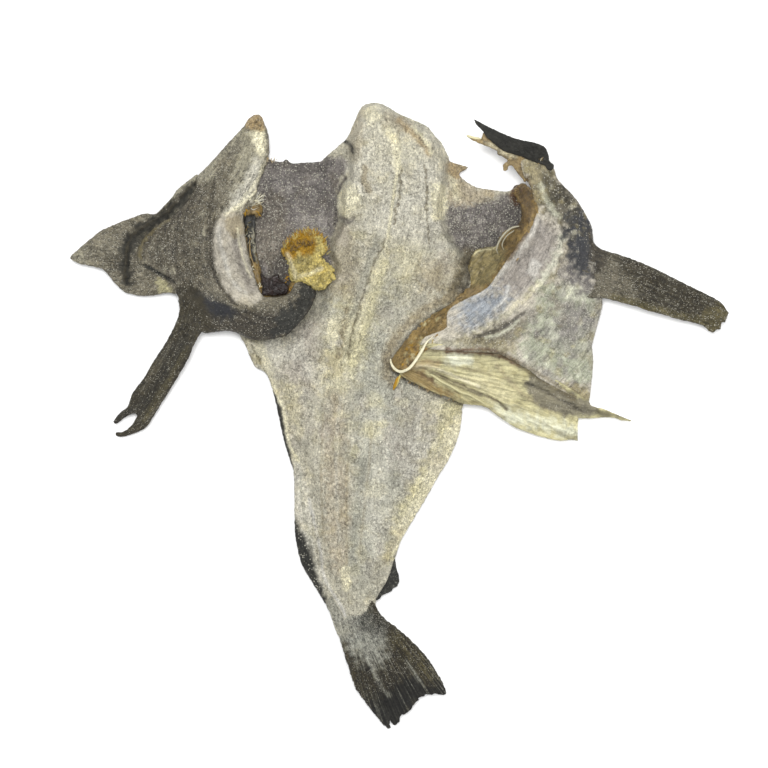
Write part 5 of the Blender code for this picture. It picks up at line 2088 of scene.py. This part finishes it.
@dataclass
class Strands:
    """Dried strands: curls, threads, fuzz and the beaded pale edge, each a tapering tube along its course."""

    def strands(self) -> list[Strand]:
        """Every strand of the fish.

        Returns:
            The strands.
        """
        t = Tone
        edge = [
            (-6.8, 45, 18), (-6, 41, 20), (-3, 37, 22.5), (1, 35, 24.8), (5, 36, 26.6), (9, 38.5, 27.6),
            (14, 45, 28.3), (19, 53, 28.4), (22, 58.5, 28), (27, 63, 27.6),
        ]
        return [
            Strand(edge, 1.15, t.CREAM),
            Strand([(96, 151.5, 23), (90, 150, 24), (84, 145, 23.5), (80, 139, 22.5), (78, 133, 20.5),
                (79.5, 129, 19)], 0.8, t.COLLAR_PALE),
            Strand([(92, 148, 23), (86, 143.5, 23.5), (82.5, 137, 22), (84, 132, 20)], 0.5, t.COLLAR_PALE),
            Strand([(-0.5, 31, 20), (-2.5, 26, 18), (-4.5, 20.5, 16)], 1.3, t.CRUST_ORANGE),
            Strand([(1, 32.5, 21), (-1, 27, 18.5), (-3, 22, 16.5)], 0.9, t.CRUST_YELLOW),
            Strand([(25, 33, 21.3), (29, 30.8, 21.2), (34, 27.2, 20.4), (39, 24.8, 19.5), (45, 21.5, 18.2),
                (50, 18.6, 17.3), (56, 17, 16.2), (61, 14, 15.2), (66, 11, 14),
                (70.5, 7.5, 12.6)], 1.25, t.FLAP_YELLOW),
            Strand([(54, 224, 22.6), (60, 222, 23), (66, 221.3, 24)], 1.1, t.FLESH_YELLOW),
            Strand([(-119.5, 140, 12.5), (-119, 130, 12.8), (-116, 120, 12.5),
                (-113.5, 112, 13)], 0.5, t.HORN),
            *tuft([(-122, 154, 13.5), (-119, 140, 12.8), (-117, 126, 12.5)], (0.3, -0.8, 0.2), 3, 26, 0.26,
                [t.COLLAR_PALE, t.HORN, t.FIN_OLIVE], 102, 0.9),
            *tuft([(-119, 168, 13), (-115, 172, 13)], (0.9, 0.5, 0.05), 9, 34, 0.22, [t.FLESH_PALE,
                t.COLLAR_PALE, t.CREAM], 91),
            *tuft([(-123, 164, 14), (-114, 163, 13)], (0.6, -0.6, 0.1), 4, 20, 0.3, [t.CRUST_ORANGE,
                t.HORN], 92, 0.8),
            *tuft([(-118, 116, 13), (-112, 102, 13)], (1.0, 0.2, 0.2), 3.5, 26, 0.3, [t.CRUST_ORANGE,
                t.HORN, t.CREAM], 93, 0.8),
            *tuft([(-92, 132, 13), (-84, 140, 14), (-76, 144, 14), (-67, 144, 13)], (-0.1, 1.0, 0.15), 5.5,
                210, 0.2, [t.CRUST_ORANGE, t.CRUST_ORANGE, t.HORN, t.CRUST_YELLOW], 94, 0.4),
            *tuft([(-86, 132, 19), (-78, 136, 20), (-70, 136, 19)], (-0.1, 0.9, 0.3), 4.5, 150, 0.2,
                [t.CRUST_ORANGE, t.HORN, t.HORN_DARK], 95, 0.6),
            *tuft([(-67, 144, 14), (-61, 140, 14), (-59, 130, 14)], (0.5, 1.0, 0.1), 4.5, 80, 0.18,
                [t.CRUST_YELLOW, t.CRUST_ORANGE], 96),
            *tuft([(-89, 110, 13), (-85, 100, 13)], (-0.6, 0.2, 0.3), 3.5, 24, 0.3, [t.CRUST_ORANGE,
                t.RED_BROWN], 97, 0.8),
            *tuft([(96, 182, 17), (92, 176, 15), (98, 166, 15)], (-0.9, 0.2, 0.1), 3, 26, 0.28, [t.HORN,
                t.RED_BROWN], 98, 0.8),
            *tuft([(88, 214, 26), (104, 208, 25), (112, 204, 24)], (0.1, 1.0, 0.2), 3.5, 40, 0.25, [t.SCRAP,
                t.HORN, t.CREAM], 99, 0.7),
            *tuft([(1, 33, 19), (10, 27, 17), (26, 20, 15), (44, 14, 13)], (-0.3, -1.0, -0.1), 2.2, 34,
                0.28, [t.HORN, t.SCRAP], 100),
            *tuft([(-106, 204, 8), (-100, 203, 8)], (0.3, 1.0, 0.1), 3, 18, 0.25, [t.PINK_BEIGE, t.SCRAP],
                101),
        ]

    def carrier(self) -> Object:
        """The strands' courses as edges that carry a radius and a tint.

        Returns:
            The carrier.
        """
        vertices, edges, radii, tints = [], [], [], []
        for strand in self.strands():
            points = spread_along(curve_through(strand.course, 5), max(0.8, 2.5 * strand.radius))
            first = len(vertices)
            vertices += points.tolist()
            edges += [(first + i, first + i + 1) for i in range(len(points) - 1)]
            share = np.linspace(0, 1, len(points))
            taper = np.minimum(1, 0.25 + 3 * np.minimum(share + 0.1, 1 - share))
            radii += (strand.radius * taper * MM).tolist()
            tints += [(*strand.tone.linear, 1.0)] * len(points)
        mesh = bpy.data.meshes.new("strand_courses")
        mesh.from_pydata((drawn_in(np.array(vertices)) * MM).tolist(), edges, [])
        mesh.attributes.new("radius", "FLOAT", "POINT").data.foreach_set("value", radii)
        mesh.attributes.new("tint", "FLOAT_COLOR", "POINT").data.foreach_set("color", np.ravel(tints))
        made = bpy.data.objects.new("strand_courses", mesh)
        bpy.context.scene.collection.objects.link(made)
        return made

    def build(self) -> list[Object]:
        """Makes all the strands as one piece.

        Returns:
            The piece.
        """
        tool = NodeTool("strand_tubes", {"Thickness": ("Float", 1.0), "Sides": ("Int", 6)})
        inputs = tool.start.outputs
        curve = tool.node("MeshToCurve", {}, {"Mesh": inputs["Geometry"]}).outputs[0]
        radius = tool.number("MULTIPLY", tool.stored("radius"), inputs["Thickness"])
        sized = tool.node("SetCurveRadius", {}, {"Curve": curve, "Radius": radius}).outputs[0]
        ring = tool.node("CurvePrimitiveCircle", {}, {"Resolution": inputs["Sides"], "Radius": 1.0})
        form = {"Curve": sized, "Profile Curve": ring.outputs[0], "Scale": radius, "Fill Caps": True}
        tube = tool.node("CurveToMesh", {}, form)
        carrier = self.carrier()
        tool.close(tube.outputs[0], Finish.STRAND.value.material())
        return [tool.grow("pale_strands", carrier)]


@dataclass
class Scatter:
    """Small bodies strewn over the upper sides of pieces, as thickly as the square of their salt says."""

    name: str  # the made piece's name
    finish: Finish  # what it wears
    per_square_metre: float  # how many bodies lie where the salt is 1
    size: float  # a middling body's radius or side
    clump: float = 6.0  # the distance over which they lie thicker and thinner
    clump_noise: tuple = (0.38, 0.66)  # the noise at which a clump begins, and that of its middle
    clump_gain: float = 2.4  # how much thicker the bodies lie there
    sides: tuple = (0.4, 1.5)  # a body's least and greatest side, as shares of its size
    turn: float = 6.28  # how far a body may be turned about each axis, in radians
    rounded: bool = False  # whether the bodies are lumps and not crystals
    seed: int = 41  # picks them

    def carrier(self, pieces: list[Object]) -> Object:
        """The upward faces of some pieces, with the looks that the bodies take over.

        Args:
            pieces: what the bodies lie on.

        Returns:
            The carrier.
        """
        stored = {"salt": ("value", 1), "tint": ("color", 4), "flow": ("vector", 3)}
        vertices, faces, looks = [], [], {name: [] for name in stored}
        for piece in pieces:
            mesh = piece.data
            count = sum(len(v) for v in vertices)
            places = np.empty(len(mesh.vertices) * 3, np.float32)
            mesh.vertices.foreach_get("co", places)
            corners = np.empty(len(mesh.polygons) * 3, np.int32)
            mesh.polygons.foreach_get("vertices", corners)
            for name, (key, width) in stored.items():
                values = np.empty(len(mesh.vertices) * width, np.float32)
                mesh.attributes[name].data.foreach_get(key, values)
                looks[name].append(values.reshape(-1, width))
            corners = corners.reshape(-1, 3)
            upward = looks["salt"][-1].ravel()[corners].min(axis=1) > 0.01
            vertices.append(places.reshape(-1, 3))
            faces.append(corners[upward] + count)
        made = mesh_object(self.name + "_ground", np.vstack(vertices) / MM, np.vstack(faces))
        salt, tint, flow = (np.vstack(looks[name]) for name in ("salt", "tint", "flow"))
        write_looks(made, tint[:, :3], salt.ravel(), flow)
        return made

    def build(self, pieces: list[Object]) -> list[Object]:
        """Makes the bodies as one piece.

        Args:
            pieces: what the bodies lie on.

        Returns:
            The piece.
        """
        density = ("Float", self.per_square_metre)
        sizes = {"Density": density, "Size": ("Float", self.size * MM), "Seed": ("Int", self.seed)}
        tool = NodeTool(self.name, sizes)
        inputs = tool.start.outputs
        squared = tool.number("POWER", tool.stored("salt"), 2.0)
        clumps = tool.node("ShaderNodeTexNoise", {}, {"Scale": 1 / (self.clump * MM), "Detail": 2.0})
        low, high = self.clump_noise
        limits = {"Value": clumps.outputs[0], "From Min": low, "From Max": high, "To Max": self.clump_gain}
        heaped = tool.node("ShaderNodeMapRange", {}, limits).outputs[0]
        dense = tool.number("MULTIPLY", tool.number("MULTIPLY", squared, heaped), inputs["Density"])
        points = tool.node(
            "DistributePointsOnFaces", {"distribute_method": "RANDOM"},
            {"Mesh": inputs["Geometry"], "Density": dense, "Seed": inputs["Seed"]},
        ).outputs["Points"]
        if self.rounded:
            body = tool.node("MeshIcoSphere", {}, {"Radius": 1.0, "Subdivisions": 2}).outputs[0]
        else:
            body = tool.node("MeshCube", {}, {"Size": (1.0, 1.0, 0.7)}).outputs[0]
        turn = tool.chance(0.0, self.turn, inputs["Seed"])
        shape = tool.chance(*self.sides, inputs["Seed"])
        scale = tool.node("ShaderNodeVectorMath", {"operation": "SCALE"}, {0: shape, "Scale": inputs["Size"]})
        strewn = {"Points": points, "Instance": body, "Rotation": turn, "Scale": scale.outputs[0]}
        grains = tool.node("InstanceOnPoints", {}, strewn)
        finish = self.finish.value
        tool.close(grains.outputs[0], bpy.data.materials.get(finish.name) or finish.material())
        return [tool.grow(self.name, self.carrier(pieces))]


# The studio


@dataclass
class Studio:
    """A pale floor, soft light from above and a camera that looks straight down."""

    lens: float = 85.0  # the focal length, in millimetres
    sensor: float = 36.0  # the film's width, in millimetres
    sky: float = 0.58  # how bright the light from all round is
    key_place: tuple = (-0.2, 0.45, 1.75)  # the main lamp's place, in metres
    key_size: float = 0.8  # its side, in metres
    key_power: float = 27.0  # its power, in watts
    fill_place: tuple = (0.9, -0.2, 1.5)  # the second lamp's place, in metres
    fill_size: float = 1.4  # its side, in metres
    fill_share: float = 0.45  # its power, as a share of the main lamp's
    floor_half: float = 4.0  # half of the floor's side, in metres
    floor_drop: float = 0.0006  # how far the floor lies below the fish, in metres
    floor_tones: tuple = ((0.95, 0.95, 0.945, 1), (0.97, 0.97, 0.965, 1))  # its colour lies between these

    def camera(self) -> None:
        """Adds the camera."""
        data = bpy.data.cameras.new("camera")
        data.lens = self.lens
        data.sensor_width = self.sensor
        made = bpy.data.objects.new("camera", data)
        made.location = EYE * MM
        bpy.context.scene.collection.objects.link(made)
        bpy.context.scene.camera = made

    def lamp(self, name: str, place: tuple, size: float, power: float) -> None:
        """Adds a square soft light that faces the fish.

        Args:
            name: the lamp's name.
            place: where it hangs, in metres.
            size: its side, in metres.
            power: its power, in watts.
        """
        data = bpy.data.lights.new(name, "AREA")
        data.size = size
        data.energy = power
        made = bpy.data.objects.new(name, data)
        made.location = place
        made.rotation_euler = (-Vector(place)).to_track_quat("-Z", "Y").to_euler()
        bpy.context.scene.collection.objects.link(made)

    def floor(self) -> None:
        """Adds the floor."""
        half = self.floor_half
        corners = np.array([(-half, -half), (half, -half), (half, half), (-half, half)]) / MM
        places = np.column_stack([corners, np.full(4, -self.floor_drop / MM)])
        made = mesh_object("floor", places, np.array([[0, 1, 2, 3]]))
        shader = Shader("pale_floor")
        grain = shader.noise(shader.coordinates(), 3.0, 3.0)
        colour = shader.mix(grain, *self.floor_tones)
        made.data.materials.append(shader.finish(Base_Color=colour, Roughness=0.9))

    def build(self) -> None:
        """Adds everything round the fish."""
        scene = bpy.context.scene
        scene.view_settings.view_transform = "Standard"
        scene.world = bpy.data.worlds.new("studio")
        scene.world.use_nodes = True
        sky = scene.world.node_tree.nodes["Background"]
        sky.inputs["Color"].default_value = (1.0, 1.0, 1.0, 1)
        sky.inputs["Strength"].default_value = self.sky
        self.lamp("key", self.key_place, self.key_size, self.key_power)
        self.lamp("fill", self.fill_place, self.fill_size, self.key_power * self.fill_share)
        self.camera()
        self.floor()


def main() -> None:
    """Builds the fish and the studio, and ties every piece to the CAD body."""
    logging.basicConfig(level=logging.INFO, format="%(name)s: %(message)s")
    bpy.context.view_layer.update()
    Studio().build()
    pieces = [*SplitBody().build(), *Tail().build(), *LeftCollar().build(), *RightCollar().build()]
    crust = [piece for piece in pieces if piece.name == "gill_crust"]
    salted = [piece for piece in pieces if piece.name != "gill_crust"]
    crumbs = Scatter("crust_crumbs", Finish.CRUST, per_square_metre=450000.0, size=0.85, rounded=True)
    grains = Scatter("salt_grains", Finish.SALT, per_square_metre=120000.0, size=0.19)
    loose = [*crumbs.build(crust), *grains.build(salted)]
    pieces += [*Strands().build(), *loose]
    for piece in pieces:
        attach(piece, BODY)
        log.info("%s: %d triangles", piece.name, sum(len(face.vertices) - 2 for face in piece.data.polygons))
    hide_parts(CAD_NODE)


if __name__ == "__main__":
    main()
